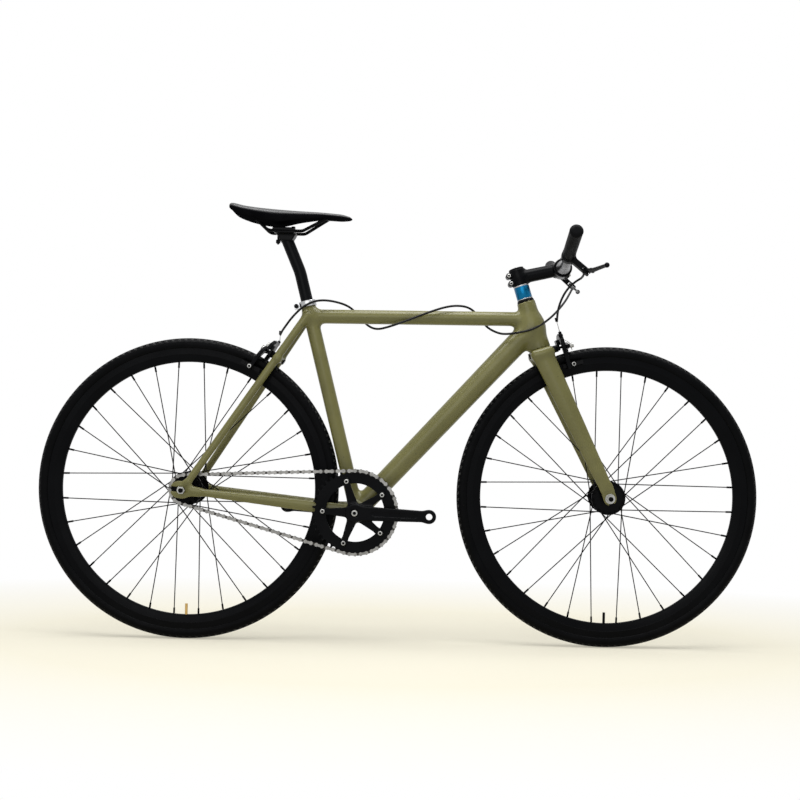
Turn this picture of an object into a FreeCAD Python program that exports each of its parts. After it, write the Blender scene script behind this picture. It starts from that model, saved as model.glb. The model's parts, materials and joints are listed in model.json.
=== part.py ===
import FreeCAD, Part
import Sketcher
import math
import os
import re
from types import SimpleNamespace

Vector = FreeCAD.Vector
Placement = FreeCAD.Placement
Rotation = FreeCAD.Rotation

# Driving sizes in millimetres, angles in degrees, and counts.
# The bike stands on Z = 0 with its middle over the origin: +X is forward, +Y is its left side, +Z is up.
SIZES = {
    # Wheels and tyres
    "wheel_gap": 266.0, "tyre_height": 22.0, "tyre_width": 28.0, "tyre_wall": 3.0,
    "rim_outer_radius": 317.0, "rim_depth": 32.0, "rim_width": 20.0, "rim_wall": 1.8,
    "rim_bed_depth": 8.0, "rim_track_height": 15.0, "rim_nose_width": 8.0,
    "valve_radius": 3.0, "valve_reach": 24.0,
    # Hubs, spokes and axles
    "flange_offset": 31.0, "flange_radius": 38.0, "flange_width": 3.2, "spoke_circle_radius": 33.0,
    "hub_barrel_radius": 15.0, "hub_bore_radius": 10.0, "hub_bearing_width": 8.0,
    "front_hub_half": 45.0, "front_hub_end_radius": 14.0, "front_axle_radius": 4.5, "front_spacing": 100.0,
    "rear_hub_half": 53.0, "rear_hub_end_radius": 17.0, "rear_axle_radius": 5.0, "rear_spacing": 120.0,
    "spoke_count": 32, "spoke_crosses": 3, "spoke_radius": 1.0, "spoke_head_radius": 2.0, "spoke_head_height": 1.2,
    "spoke_elbow_rise": 1.8,
    "nipple_radius": 2.0, "nipple_length": 12.0, "rim_hole_offset": 1.2,
    "locknut_radius": 8.0, "axle_nut_radius": 8.66, "axle_nut_height": 10.0, "axle_stub": 3.0,
    "washer_radius": 11.0, "washer_height": 1.6,
    # Chain, sprockets and cranks
    "chain_pitch": 12.7, "chain_line": 42.0, "ring_teeth": 46, "cog_teeth": 16,
    "ring_wrap_links": 25, "cog_wrap_links": 7, "chain_run_room": 38.0,
    "roller_radius": 3.87, "roller_length": 3.3, "link_plate_radius": 4.2, "link_waist": 5.6,
    "link_plate_width": 1.0, "link_plate_gap": 0.15, "pin_radius": 1.8, "pin_stub": 0.5,
    "tooth_height": 3.0, "tooth_tip_width": 1.6, "sprocket_width": 2.9,
    "ring_inner_radius": 65.0, "bolt_circle_radius": 72.0, "ring_bolt_radius": 5.0, "ring_bolt_stub": 1.2,
    "lockring_radius": 22.0, "lockring_width": 4.0,
    "bb_drop": 43.5, "shell_width": 68.0, "shell_radius": 20.5, "shell_bore_radius": 17.3,
    "cup_flange_radius": 19.5, "cup_flange_width": 3.0, "cup_depth": 12.0, "spindle_radius": 8.5,
    "crank_length": 165.0, "crank_angle": -1.6, "crank_boss_radius": 19.0, "crank_root_width": 34.0,
    "crank_tip_width": 25.0, "crank_eye_radius": 14.6, "crank_width": 12.0, "crank_flare": 4.0, "spider_width": 6.0,
    "spider_arms": 5, "spider_root_width": 24.0, "spider_tip_width": 13.0, "spider_tip_radius": 8.5,
    "pedal_hole_radius": 7.14, "crank_bolt_radius": 7.0, "crank_bolt_height": 6.0, "crank_recess": 3.0,
    # Frame
    "seat_angle": 75.5, "seat_tube_offset": 0.0, "seat_tube_length": 487.1, "seat_tube_diameter": 31.6, "tube_wall": 1.8,
    "top_tube_diameter": 31.8, "top_tube_seat_drop": 35.0, "top_tube_head_drop": 40.3,
    "down_tube_foot_diameter": 44.0, "down_tube_head_diameter": 51.0, "down_tube_head_drop": 57.0,
    "head_angle": 72.2, "head_tube_length": 110.6, "head_foot_diameter": 50.0, "head_top_diameter": 41.0,
    "head_bore_radius": 16.5, "lower_bearing_radius": 21.0, "upper_bearing_radius": 17.8, "bearing_height": 8.0,
    "chainstay_front_height": 30.0, "chainstay_rear_height": 15.0, "chainstay_width": 14.0,
    "chainstay_front_offset": 25.0, "chainstay_tyre_offset": 29.5, "chainstay_bend_offset": 44.0,
    "seatstay_foot_radius": 8.0, "seatstay_top_radius": 9.0, "seatstay_top_offset": 15.5, "seatstay_start": 20.0,
    "bridge_room": 17.0, "bridge_radius": 7.5,
    "dropout_width": 7.0, "dropout_radius": 19.0, "dropout_rear": 27.0, "dropout_lip": 13.0, "dropout_ear": 44.0,
    "dropout_ear_width": 16.0,
    "collar_wall": 3.4, "collar_height": 13.0, "collar_ear_length": 12.0, "collar_ear_width": 14.0,
    "collar_slot": 2.0, "collar_bolt_radius": 2.6, "collar_bolt_head_radius": 4.4, "collar_bolt_head_height": 5.0,
    # Fork and headset
    "fork_offset": 48.8, "fork_room": 24.0, "steerer_radius": 14.3, "crown_height": 19.0, "crown_depth": 50.0,
    "crown_shoulder": 15.0, "blade_top_offset": 36.0, "blade_top_depth": 48.0, "blade_top_width": 24.0,
    "blade_foot_depth": 29.0, "blade_foot_width": 14.0, "blade_foot_gap": 16.0, "fork_end_width": 7.0,
    "fork_end_radius": 14.5, "headset_gap": 0.6, "cover_height": 6.0, "cover_radius": 20.0,
    "spacer_radius": 17.5, "thin_spacer_height": 1.6, "blue_spacer_height": 28.0,
    # Stem, bar and grips
    "stem_length": 100.0, "stem_angle": -5.0, "stem_clamp_height": 36.0, "stem_clamp_radius": 18.5,
    "stem_root_radius": 16.0, "stem_neck_radius": 15.0,
    "bar_clamp_radius": 21.0, "bar_clamp_width": 44.0, "stem_split": 1.6, "stem_bolt_radius": 2.5,
    "stem_bolt_head_radius": 4.2, "stem_bolt_head_height": 4.6, "stem_bolt_spread": 14.0,
    "stem_boss_radius": 6.5, "pinch_bolt_spacing": 18.0, "top_cap_height": 5.0, "top_cap_radius": 17.0,
    "bar_radius": 11.1, "bar_centre_radius": 15.9, "bar_bulge_half": 30.0, "bar_taper_end": 62.0,
    "bar_bend_start": 76.0, "bar_half_width": 260.0, "bar_rise": 42.0, "bar_wall": 2.2, "bar_bend_radius": 90.0,
    "grip_radius": 14.5, "grip_length": 132.0, "grip_end": 5.0,
    # Brakes
    "lever_gap": 10.0, "lever_droop": 42.0, "lever_clamp_radius": 15.5, "lever_clamp_width": 14.0,
    "lever_pivot_reach": 48.0, "lever_body_width": 15.0, "lever_body_height": 13.0, "lever_body_end": 60.0,
    "lever_slot": 5.4, "lever_width": 5.0, "lever_pin_radius": 2.5, "lever_blade_width": 9.0,
    "lever_elbow_out": 26.0, "lever_elbow_reach": 62.0, "lever_tip_out": 104.0, "lever_tip_reach": 88.0,
    "lever_ball_radius": 5.5, "lever_eye_radius": 6.0, "barrel_radius": 3.6, "barrel_length": 14.0,
    "housing_radius": 2.5, "housing_lead": 22.0, "wire_radius": 0.8,
    "caliper_reach": 47.0, "caliper_pad_place": 35.0, "caliper_spacer_height": 14.0, "caliper_spacer_radius": 8.0,
    "caliper_plate_width": 5.0, "caliper_arm_width": 9.0,
    "caliper_bolt_radius": 3.0, "caliper_side_pivot": 18.0, "caliper_side_height": 12.0, "caliper_bolt_drop": 9.0,
    "caliper_pin_radius": 3.0, "caliper_cap_radius": 6.0, "caliper_cap_height": 4.0, "caliper_cable_side": 42.0,
    "pad_length": 46.0, "pad_height": 8.0, "pad_thickness": 9.0, "pad_gap": 2.2, "pad_stud_radius": 3.0,
    "pad_stud_length": 12.0, "pad_bolt_radius": 5.0, "pad_bolt_height": 4.0,
    # Seat
    "seatpost_diameter": 27.2, "seatpost_insert": 120.0, "seatpost_straight": 67.0, "seatpost_setback_angle": 8.7,
    "seatpost_upper": 84.0, "seatpost_bend_radius": 120.0, "seatpost_wall": 2.4,
    "rail_radius": 3.5, "rail_spread": 44.0, "rail_straight": 78.0, "rail_front_run": 56.0, "rail_front_rise": 34.0,
    "rail_rear_run": 26.0, "rail_rear_rise": 24.0, "rail_bend_radius": 20.0,
    "clamp_length": 40.0, "clamp_width": 54.0, "clamp_lower_height": 13.0, "clamp_upper_height": 8.0,
    "clamp_bolt_radius": 3.0, "clamp_bolt_head_radius": 5.0, "clamp_bolt_head_height": 5.0,
    "saddle_length": 276.0, "saddle_width": 134.0, "saddle_height": 46.0, "saddle_setback": 59.0,
    "saddle_rail_gap": 14.0, "saddle_tilt": 0.4,
    # Fits
    "seatpost_clearance": 0.05, "running_clearance": 0.05, "tooth_clearance": 0.3, "seat_clearance": 0.3,
    "overrun": 5.0,
}

# Sizes that follow from those above, as formulas in the same sheet.
FITTED_SIZES = {
    "tyre_radius": "=rim_outer_radius + tyre_height",
    "wheelbase": "=2 * tyre_radius + wheel_gap",
    "fork_length": "=tyre_radius + fork_room",
    "bridge_reach": "=tyre_radius + bridge_room",
    "straight_links": "=ceil((tyre_radius + chain_run_room) / chain_pitch)",
    "lever_place": "=bar_half_width - grip_length - lever_gap",
}

doc = FreeCAD.newDocument("fixed_gear_bike")
sheet = doc.addObject("Spreadsheet::Sheet", "sizes")
for row, (name, value) in enumerate((SIZES | FITTED_SIZES).items(), start=1):
    sheet.set(f"A{row}", name)
    sheet.set(f"B{row}", str(value))
    sheet.setAlias(f"B{row}", name)
doc.recompute()
s = SimpleNamespace(**{name: sheet.get(name) for name in SIZES | FITTED_SIZES})

X_AXIS = Vector(1, 0, 0)
Y_AXIS = Vector(0, 1, 0)
Z_AXIS = Vector(0, 0, 1)
NO_VECTOR = Vector(0, 0, 0)
NODES = []


def node(piece):
    """Mark a finished sub-part, which is written to a file named by its label."""
    NODES.append(piece)
    return piece


def linked(text):
    """An expression with its size names pointed at the sheet."""
    return re.sub(r"[a-z_]{3,}\w*", r"sizes.\g<0>", text)


def amount(text):
    """The present value of an expression in size names."""
    return float(sheet.evalExpression(linked(text)))


def bind(piece, **expressions):
    for prop, text in expressions.items():
        piece.setExpression(prop, linked(text))


def frame_of(origin, axis, across=None):
    """A placement whose local Z is axis and whose local X lies nearest to across."""
    if across is None:
        return Placement(origin, Rotation(Z_AXIS, axis))
    return Placement(origin, Rotation(across, NO_VECTOR, axis, "ZXY"))


def solid(kind, name, place, **expressions):
    """A Part primitive bound to the sheet, at a placement."""
    piece = doc.addObject("Part::" + kind, name)
    bind(piece, **expressions)
    piece.Placement = place
    return piece


def rod(name, start, end, radius):
    """A bound cylinder between two points."""
    piece = solid("Cylinder", name, frame_of(start, end - start), Radius=radius)
    piece.Height = (end - start).Length
    return piece


def taper(name, start, end, start_radius, end_radius):
    """A bound cone between two points."""
    piece = solid("Cone", name, frame_of(start, end - start), Radius1=start_radius, Radius2=end_radius)
    piece.Height = (end - start).Length
    return piece


def fused(name, *pieces):
    piece = doc.addObject("Part::MultiFuse", name)
    piece.Shapes = list(pieces)
    return piece


def less(name, base, *tools):
    piece = doc.addObject("Part::Cut", name)
    piece.Base = base
    piece.Tool = tools[0] if len(tools) == 1 else fused(name + "_tools", *tools)
    return piece


def group(name, *pieces):
    """Separate solids that share one sub-part."""
    piece = doc.addObject("Part::Compound", name)
    piece.Links = list(pieces)
    return piece


def made(name, shape, place=Placement()):
    """A sub-part whose shape is built from sheet values with Part's own functions."""
    piece = doc.addObject("Part::Feature", name)
    piece.Shape = shape
    piece.Placement = place
    return piece


def origin_feature(body, role):
    return next(feature for feature in body.Origin.OriginFeatures if feature.Role == role)


def outline(sketch, points):
    """A closed outline in a sketch, each corner held by two expressions."""
    corners = [Vector(amount(across), amount(up), 0) for across, up in points]
    first = sketch.GeometryCount
    total = len(points)
    for index, corner in enumerate(corners):
        sketch.addGeometry(Part.LineSegment(corner, corners[(index + 1) % total]), False)
    for index, (across, up) in enumerate(points):
        edge = first + index
        following = first + (index + 1) % total
        sketch.addConstraint(Sketcher.Constraint("Coincident", edge, 2, following, 1))
        for kind, text, value in (("DistanceX", across, corners[index].x), ("DistanceY", up, corners[index].y)):
            held = sketch.addConstraint(Sketcher.Constraint(kind, -1, 1, edge, 1, value))
            sketch.setExpression(f"Constraints[{held}]", linked(text))


def ring_line(sketch, radius, across="0", up="0"):
    """A circle in a sketch, held by expressions."""
    centre = Vector(amount(across), amount(up), 0)
    edge = sketch.addGeometry(Part.Circle(centre, Z_AXIS, amount(radius)), False)
    held = sketch.addConstraint(Sketcher.Constraint("Radius", edge, amount(radius)))
    sketch.setExpression(f"Constraints[{held}]", linked(radius))
    for kind, text, value in (("DistanceX", across, centre.x), ("DistanceY", up, centre.y)):
        held = sketch.addConstraint(Sketcher.Constraint(kind, -1, 1, edge, 3, value))
        sketch.setExpression(f"Constraints[{held}]", linked(text))


def sketch_on(body, role, name):
    sketch = body.newObject("Sketcher::SketchObject", name)
    sketch.AttachmentSupport = [(origin_feature(body, role), "")]
    sketch.MapMode = "FlatFace"
    return sketch


def turned(name, place, *outlines):
    """A turned body: outlines of (along, radius) expressions revolved about the body's own X axis."""
    body = doc.addObject("PartDesign::Body", name)
    sketch = sketch_on(body, "XZ_Plane", name + "_profile")
    for points in outlines:
        outline(sketch, points)
    turn = body.newObject("PartDesign::Revolution", name + "_turn")
    turn.Profile = sketch
    turn.ReferenceAxis = (sketch, ["H_Axis"])
    turn.Angle = 360
    body.Tip = turn
    body.Placement = place
    return body


def along(origin, axis):
    """A placement for a turned body, with its X axis laid along axis."""
    return Placement(origin, Rotation(X_AXIS, axis))


def bored(name, place, start, end, inner, outer):
    """A plain turned ring from start to end along its axis."""
    return turned(name, place, [(start, inner), (start, outer), (end, outer), (end, inner)])


def plate(name, points, width, place, holes=()):
    """A flat plate: an outline on its XY plane, padded both ways, with round holes of (radius, x, y)."""
    body = doc.addObject("PartDesign::Body", name)
    sketch = sketch_on(body, "XY_Plane", name + "_outline")
    outline(sketch, points)
    pad = body.newObject("PartDesign::Pad", name + "_pad")
    pad.Profile = sketch
    pad.Midplane = True
    bind(pad, Length=width)
    body.Tip = pad
    if holes:
        cut_sketch = sketch_on(body, "XY_Plane", name + "_holes")
        for hole in holes:
            ring_line(cut_sketch, *hole)
        pocket = body.newObject("PartDesign::Pocket", name + "_pocket")
        pocket.Profile = cut_sketch
        pocket.Midplane = True
        bind(pocket, Length=f"2 * ({width})")
        body.Tip = pocket
    body.Placement = place
    return body


RUN_SHARE = 0.45


def rounded_path(points, radius=None):
    """Straight runs joined by tangent arcs, each as large as its two runs allow, or of one given radius."""
    edges = []
    here = points[0]
    radii = []
    for before, corner, after in zip(points, points[1:], points[2:]):
        back = (before - corner).normalize()
        ahead = (after - corner).normalize()
        half_turn = (math.pi - back.getAngle(ahead)) / 2
        shorter = min((before - corner).Length, (after - corner).Length)
        size = radius or RUN_SHARE * shorter / math.tan(half_turn)
        setback = size * math.tan(half_turn)
        enter = corner + back * setback
        leave = corner + ahead * setback
        inward = (back + ahead).normalize()
        middle = corner + inward * (size / math.cos(half_turn) - size)
        edges.append(Part.LineSegment(here, enter).toShape())
        edges.append(Part.Arc(enter, middle, leave).toShape())
        here = leave
        radii.append(size)
    edges.append(Part.LineSegment(here, points[-1]).toShape())
    return Part.Wire(edges), radii


def pipe(points, radius, bend=None):
    """A round tube along a rounded path."""
    path, radii = rounded_path(points, bend)
    section = Part.Wire(Part.makeCircle(radius, points[0], points[1] - points[0]))
    return path.makePipeShell([section], True, False), path.Length, radii


def cord(name, points):
    """A brake housing along its route, with its bends and its volume printed."""
    tube, length, radii = pipe(points, s.housing_radius)
    share = tube.Volume / (math.pi * s.housing_radius ** 2 * length)
    print(name, "length", round(length, 1), "least radius", round(min(radii), 1), "volume share", round(share, 4))
    return tube


def cylinder(start, end, radius):
    """A plain cylinder shape between two points."""
    return Part.makeCylinder(radius, (end - start).Length, start, end - start)


# Layout: the axles, the bottom bracket and the steering axis, all in the middle plane.
rear_axle = Vector(-s.wheelbase / 2, 0, s.tyre_radius)
front_axle = Vector(s.wheelbase / 2, 0, s.tyre_radius)

ring_pitch_radius = s.chain_pitch / (2 * math.sin(math.pi / s.ring_teeth))
cog_pitch_radius = s.chain_pitch / (2 * math.sin(math.pi / s.cog_teeth))
ring_half_wrap = s.ring_wrap_links * math.pi / s.ring_teeth
cog_half_wrap = s.cog_wrap_links * math.pi / s.cog_teeth
run_rise = ring_pitch_radius * math.sin(ring_half_wrap) - cog_pitch_radius * math.sin(cog_half_wrap)
run_length = math.sqrt((s.straight_links * s.chain_pitch) ** 2 - run_rise ** 2)
chainstay_length = (run_length - ring_pitch_radius * math.cos(ring_half_wrap)
                    - cog_pitch_radius * math.cos(cog_half_wrap))
bottom_bracket = rear_axle + Vector(math.sqrt(chainstay_length ** 2 - s.bb_drop ** 2), 0, -s.bb_drop)
back = (rear_axle - bottom_bracket).normalize()

seat_angle = math.radians(s.seat_angle)
seat_up = Vector(-math.cos(seat_angle), 0, math.sin(seat_angle))
seat_ahead = Vector(math.sin(seat_angle), 0, math.cos(seat_angle))
seat_foot = bottom_bracket - seat_ahead * s.seat_tube_offset
seat_top = seat_foot + seat_up * s.seat_tube_length
seat_node = seat_top - seat_up * s.top_tube_seat_drop

head_angle = math.radians(s.head_angle)
steer_up = Vector(-math.cos(head_angle), 0, math.sin(head_angle))
steer_ahead = Vector(math.sin(head_angle), 0, math.cos(head_angle))
crown = front_axle - steer_ahead * s.fork_offset + steer_up * s.fork_length
head_foot = crown + steer_up * s.headset_gap
head_top = head_foot + steer_up * s.head_tube_length


def side(point, sign, offset):
    """A middle-plane point moved to one side of the bike: sign -1 is the right, drive side."""
    return Vector(point.x, sign * offset, point.z)


# Frame tubes, each mitred against the tubes that it meets.
shell_ends = [side(bottom_bracket, sign, s.shell_width / 2) for sign in (-1, 1)]
shell_outer = rod("shell_outer", *shell_ends, "shell_radius")
shell_bore = rod("shell_bore", *shell_ends, "shell_bore_radius")
node(less("bottom_bracket_shell", shell_outer, shell_bore))

seat_outer = rod("seat_outer", seat_foot, seat_top, "seat_tube_diameter / 2")
seat_bore = rod("seat_bore", seat_foot, seat_top + seat_up * s.overrun,
                "seatpost_diameter / 2 + seatpost_clearance")
node(less("seat_tube", seat_outer, seat_bore, shell_outer))

head_outer = taper("head_outer", head_foot, head_top, "head_foot_diameter / 2", "head_top_diameter / 2")
head_bore = rod("head_bore", head_foot, head_top, "head_bore_radius")
lower_seat = rod("lower_seat", head_foot, head_foot + steer_up * s.bearing_height, "lower_bearing_radius")
upper_seat = rod("upper_seat", head_top - steer_up * s.bearing_height, head_top, "upper_bearing_radius")
node(less("head_tube", head_outer, head_bore, lower_seat, upper_seat))

down_head = head_top - steer_up * s.down_tube_head_drop
down_outer = taper("down_outer", bottom_bracket, down_head,
                   "down_tube_foot_diameter / 2", "down_tube_head_diameter / 2")
down_bore = taper("down_bore", bottom_bracket, down_head,
                  "down_tube_foot_diameter / 2 - tube_wall", "down_tube_head_diameter / 2 - tube_wall")
node(less("down_tube", down_outer, down_bore, shell_outer, head_outer, seat_outer))

top_head = head_top - steer_up * s.top_tube_head_drop
top_outer = rod("top_outer", seat_node, top_head, "top_tube_diameter / 2")
top_bore = rod("top_bore", seat_node, top_head, "top_tube_diameter / 2 - tube_wall")
node(less("top_tube", top_outer, top_bore, seat_outer, head_outer, down_outer))

# Track ends: a plate on each side, with a slot that opens to the rear and an ear up the seat stay.
stay_up = (seat_node - rear_axle).normalize()
stay_angle = math.atan2(stay_up.z, stay_up.x)
dropout_centre = s.rear_spacing / 2 + s.dropout_width / 2
EAR_SHARES = [(1, -0.5), (1, 0.5)]


def ear_point(length_share, width_share):
    """A corner of the ear, along the seat stay and across it, as expressions."""
    reach = f"{length_share} * dropout_ear"
    across = f"{width_share} * dropout_ear_width"
    cosine = round(math.cos(stay_angle), 6)
    sine = round(math.sin(stay_angle), 6)
    return (f"{cosine} * {reach} - {sine} * {across}", f"{sine} * {reach} + {cosine} * {across}")


def dropout(sign):
    """One track end in the plane of its stays, centred on the axle."""
    points = [("-dropout_rear", "-dropout_lip"), ("0", "-dropout_radius"), ("dropout_ear", "-dropout_lip / 2"),
              ("dropout_ear", "dropout_lip / 2")]
    points += [ear_point(*shares) for shares in EAR_SHARES]
    points += [("0", "dropout_radius"), ("-dropout_rear", "dropout_lip")]
    place = Placement(side(rear_axle, sign, dropout_centre), Rotation(X_AXIS, NO_VECTOR, -Y_AXIS, "ZXY"))
    name = "dropout_" + ("left" if sign > 0 else "right")
    sheet_plate = plate(name, points, "dropout_width", place, [("rear_axle_radius + seat_clearance",)])
    slot = solid("Box", name + "_slot", Placement(), Length="dropout_rear + overrun",
                 Width="dropout_width + 2 * overrun", Height="2 * (rear_axle_radius + seat_clearance)")
    slot.Placement.Base = side(rear_axle, sign, dropout_centre) - Vector(
        s.dropout_rear + s.overrun, s.dropout_width / 2 + s.overrun, s.rear_axle_radius + s.seat_clearance)
    return less(name + "_slotted", sheet_plate, slot)


dropouts = [dropout(sign) for sign in (-1, 1)]
node(group("dropouts", *dropouts))

# Chain stays: lofts that stay inside the chainring and clear of the tyre.
chainstay_end_share = 1 - (s.dropout_ear - s.dropout_lip) / chainstay_length
chainstay_shares = (0.0, 0.31, 0.62, chainstay_end_share)
chainstay_offsets = (s.chainstay_front_offset, s.chainstay_tyre_offset, s.chainstay_bend_offset, dropout_centre)


def oval(centre, axis, across, width, height):
    """An elliptical wire with its width along across."""
    ellipse = Part.Ellipse(NO_VECTOR, max(width, height) / 2, min(width, height) / 2)
    wire = Part.Wire(ellipse.toShape())
    long_way = across if width >= height else axis.cross(across)
    wire.Placement = frame_of(centre, axis, long_way)
    return wire


def chainstay(sign):
    sections = []
    for share, offset in zip(chainstay_shares, chainstay_offsets):
        centre = side(bottom_bracket + back * (share * chainstay_length), sign, offset)
        height = s.chainstay_front_height + (s.chainstay_rear_height - s.chainstay_front_height) * share
        sections.append(oval(centre, back, Y_AXIS, s.chainstay_width, height))
    return made("chainstay_loft_" + ("left" if sign > 0 else "right"), Part.makeLoft(sections, True, False))


node(group("chainstays", *[less(f"chainstay_{index}", chainstay(sign), shell_outer, seat_outer, dropouts[index])
                           for index, sign in enumerate((-1, 1))]))

# Seat stays and the brake bridge between them.
stay_feet = [side(rear_axle + stay_up * s.seatstay_start, sign, dropout_centre) for sign in (-1, 1)]
stay_tops = [side(seat_node, sign, s.seatstay_top_offset) for sign in (-1, 1)]
stay_rods = [taper(f"seatstay_rod_{index}", foot, top, "seatstay_foot_radius", "seatstay_top_radius")
             for index, (foot, top) in enumerate(zip(stay_feet, stay_tops))]
stay_back = Vector(-stay_up.z, 0, stay_up.x)
bridge_point = rear_axle + stay_up * s.bridge_reach
bridge_share = (s.bridge_reach - s.seatstay_start) / ((seat_node - rear_axle).Length - s.seatstay_start)
bridge_half = dropout_centre + (s.seatstay_top_offset - dropout_centre) * bridge_share
bridge_rod = rod("bridge_rod", side(bridge_point, -1, bridge_half), side(bridge_point, 1, bridge_half), "bridge_radius")
rear_bolt_hole = rod("rear_bolt_hole", bridge_point - stay_back * (s.bridge_radius + s.overrun),
                     bridge_point + stay_back * (s.bridge_radius + s.overrun), "caliper_bolt_radius")
stays = [less(f"seatstay_{index}", stay, seat_outer, top_outer, dropouts[index]) for index, stay in enumerate(stay_rods)]
bridge = less("brake_bridge", bridge_rod, rear_bolt_hole, *stay_rods)
node(group("seatstays", *stays, bridge))

# Seat collar with its pinch ears to the rear and the bolt across them.
collar_foot = seat_top - seat_up * s.collar_height
collar_place = frame_of(collar_foot, seat_up, seat_ahead)
collar_inner = "seat_tube_diameter / 2"
collar_outer = solid("Cylinder", "collar_outer", collar_place, Radius=collar_inner + " + collar_wall",
                     Height="collar_height")
collar_ear = solid("Box", "collar_ear", collar_place, Length="seat_tube_diameter / 2 + collar_wall + collar_ear_length",
                   Width="collar_ear_width", Height="collar_height")
collar_reach = s.seat_tube_diameter / 2 + s.collar_wall + s.collar_ear_length
collar_ear.Placement.Base = collar_foot - seat_ahead * collar_reach - Y_AXIS * (s.collar_ear_width / 2)
collar_bore = solid("Cylinder", "collar_bore", collar_place, Radius=collar_inner, Height="collar_height")
collar_split = solid("Box", "collar_split", collar_place, Length="seat_tube_diameter / 2 + collar_wall + "
                     "collar_ear_length", Width="collar_slot", Height="collar_height")
collar_split.Placement.Base = collar_foot - seat_ahead * collar_reach - Y_AXIS * (s.collar_slot / 2)
collar_bolt_middle = (collar_foot + seat_up * (s.collar_height / 2)
                      - seat_ahead * (collar_reach - s.collar_ear_length / 2))
collar_bolt_start = collar_bolt_middle - Y_AXIS * (s.collar_ear_width / 2)
collar_bolt_end = collar_bolt_middle + Y_AXIS * (s.collar_ear_width / 2)
collar_shank = rod("collar_shank", collar_bolt_start, collar_bolt_end, "collar_bolt_radius")
collar_head = rod("collar_head", collar_bolt_start - Y_AXIS * s.collar_bolt_head_height, collar_bolt_start,
                  "collar_bolt_head_radius")
collar_ring = less("collar_ring", fused("collar_solid", collar_outer, collar_ear), collar_bore, collar_split,
                   collar_shank)
node(group("seat_collar", collar_ring, fused("collar_bolt", collar_shank, collar_head)))


# Bottom bracket cups and spindle.
def axis_place(point, sign):
    """A turned body's placement with its axis pointing out of one side of the bike."""
    return along(point, Y_AXIS * sign)


cups = [turned(f"cup_{index}", axis_place(bottom_bracket, sign),
               [("shell_width / 2 - cup_depth", "spindle_radius + running_clearance"),
                ("shell_width / 2 - cup_depth", "shell_bore_radius"),
                ("shell_width / 2", "shell_bore_radius"), ("shell_width / 2", "cup_flange_radius"),
                ("shell_width / 2 + cup_flange_width", "cup_flange_radius"),
                ("shell_width / 2 + cup_flange_width", "spindle_radius + running_clearance")])
        for index, sign in enumerate((-1, 1))]
node(group("bottom_bracket_cups", *cups))
spider_inner = s.chain_line + s.sprocket_width / 2
spider_outer = spider_inner + s.spider_width
crank_outer = spider_outer + s.crank_width
spindle_end = crank_outer - s.crank_recess - s.crank_bolt_height / 2
node(rod("bb_spindle", side(bottom_bracket, -1, spindle_end), side(bottom_bracket, 1, spindle_end), "spindle_radius"))


# Sprockets: a disc with a roller gap cut at every tooth.
def sprocket(name, centre, teeth, pitch_radius, first_gap, inner_radius, holes=()):
    """A toothed plate on the chain line, first_gap being the direction of one roller gap."""
    seat = s.roller_radius + s.tooth_clearance
    tip_radius = pitch_radius + s.tooth_height
    tip_half = math.pi * tip_radius / teeth - s.tooth_tip_width / 2
    disc = Part.makeCylinder(tip_radius, s.sprocket_width, Vector(0, 0, -s.sprocket_width / 2))
    disc = disc.cut(Part.makeCylinder(inner_radius, s.sprocket_width, Vector(0, 0, -s.sprocket_width / 2)))
    corners = [Vector(pitch_radius, -seat, 0), Vector(tip_radius + s.overrun, -tip_half, 0),
               Vector(tip_radius + s.overrun, tip_half, 0), Vector(pitch_radius, seat, 0)]
    wedge = Part.Face(Part.makePolygon(corners + corners[:1])).extrude(Z_AXIS * s.sprocket_width)
    gap = wedge.fuse(Part.makeCylinder(seat, s.sprocket_width, Vector(pitch_radius, 0, 0)))
    gap.translate(Vector(0, 0, -s.sprocket_width / 2))
    gaps = []
    for index in range(int(teeth)):
        turned_gap = gap.copy()
        turned_gap.rotate(NO_VECTOR, Z_AXIS, index * 360 / teeth)
        gaps.append(turned_gap)
    for radius, reach, angle in holes:
        place = Vector(reach * math.cos(angle), reach * math.sin(angle), -s.sprocket_width / 2)
        gaps.append(Part.makeCylinder(radius, s.sprocket_width, place))
    shape = disc.cut(gaps)
    return made(name, shape, frame_of(side(centre, -1, s.chain_line), -Y_AXIS, first_gap))


def flat_turn(direction, angle):
    """A middle-plane direction turned by angle, anticlockwise as seen from the drive side."""
    return Rotation(-Y_AXIS, math.degrees(angle)).multVec(direction)


crank_angle = math.radians(s.crank_angle)
crank_ahead = flat_turn(X_AXIS, crank_angle)
ring_gap = flat_turn(-back, math.pi / s.ring_teeth)
cog_gap = flat_turn(back, math.pi / s.cog_teeth)
spider_step = 2 * math.pi / s.spider_arms
ring_bolt_angles = [(index + 0.5) * spider_step for index in range(int(s.spider_arms))]
crank_from_gap = math.atan2(ring_gap.cross(crank_ahead).dot(-Y_AXIS), ring_gap.dot(crank_ahead))
ring_holes = [(s.ring_bolt_radius, s.bolt_circle_radius, crank_from_gap + angle) for angle in ring_bolt_angles]
node(sprocket("chainring", bottom_bracket, s.ring_teeth, ring_pitch_radius, ring_gap, s.ring_inner_radius, ring_holes))
node(sprocket("rear_cog", rear_axle, s.cog_teeth, cog_pitch_radius, cog_gap, s.rear_hub_end_radius))
lockring_start = "chain_line + sprocket_width / 2"
node(bored("rear_lockring", axis_place(rear_axle, -1), lockring_start, lockring_start + " + lockring_width",
           "rear_hub_end_radius", "lockring_radius"))


# Chain: inner links of two plates on bushed rollers, and outer links of two plates on pins.
def link_plate(offset):
    """One side plate in the XY plane, from the first roller at the origin to the second on +X."""
    second = Vector(s.chain_pitch, 0, offset)
    first = Vector(0, 0, offset)
    waist = Part.makeBox(s.chain_pitch, s.link_waist, s.link_plate_width, Vector(0, -s.link_waist / 2, offset))
    ends = [Part.makeCylinder(s.link_plate_radius, s.link_plate_width, point) for point in (first, second)]
    return waist.fuse(ends)


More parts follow.
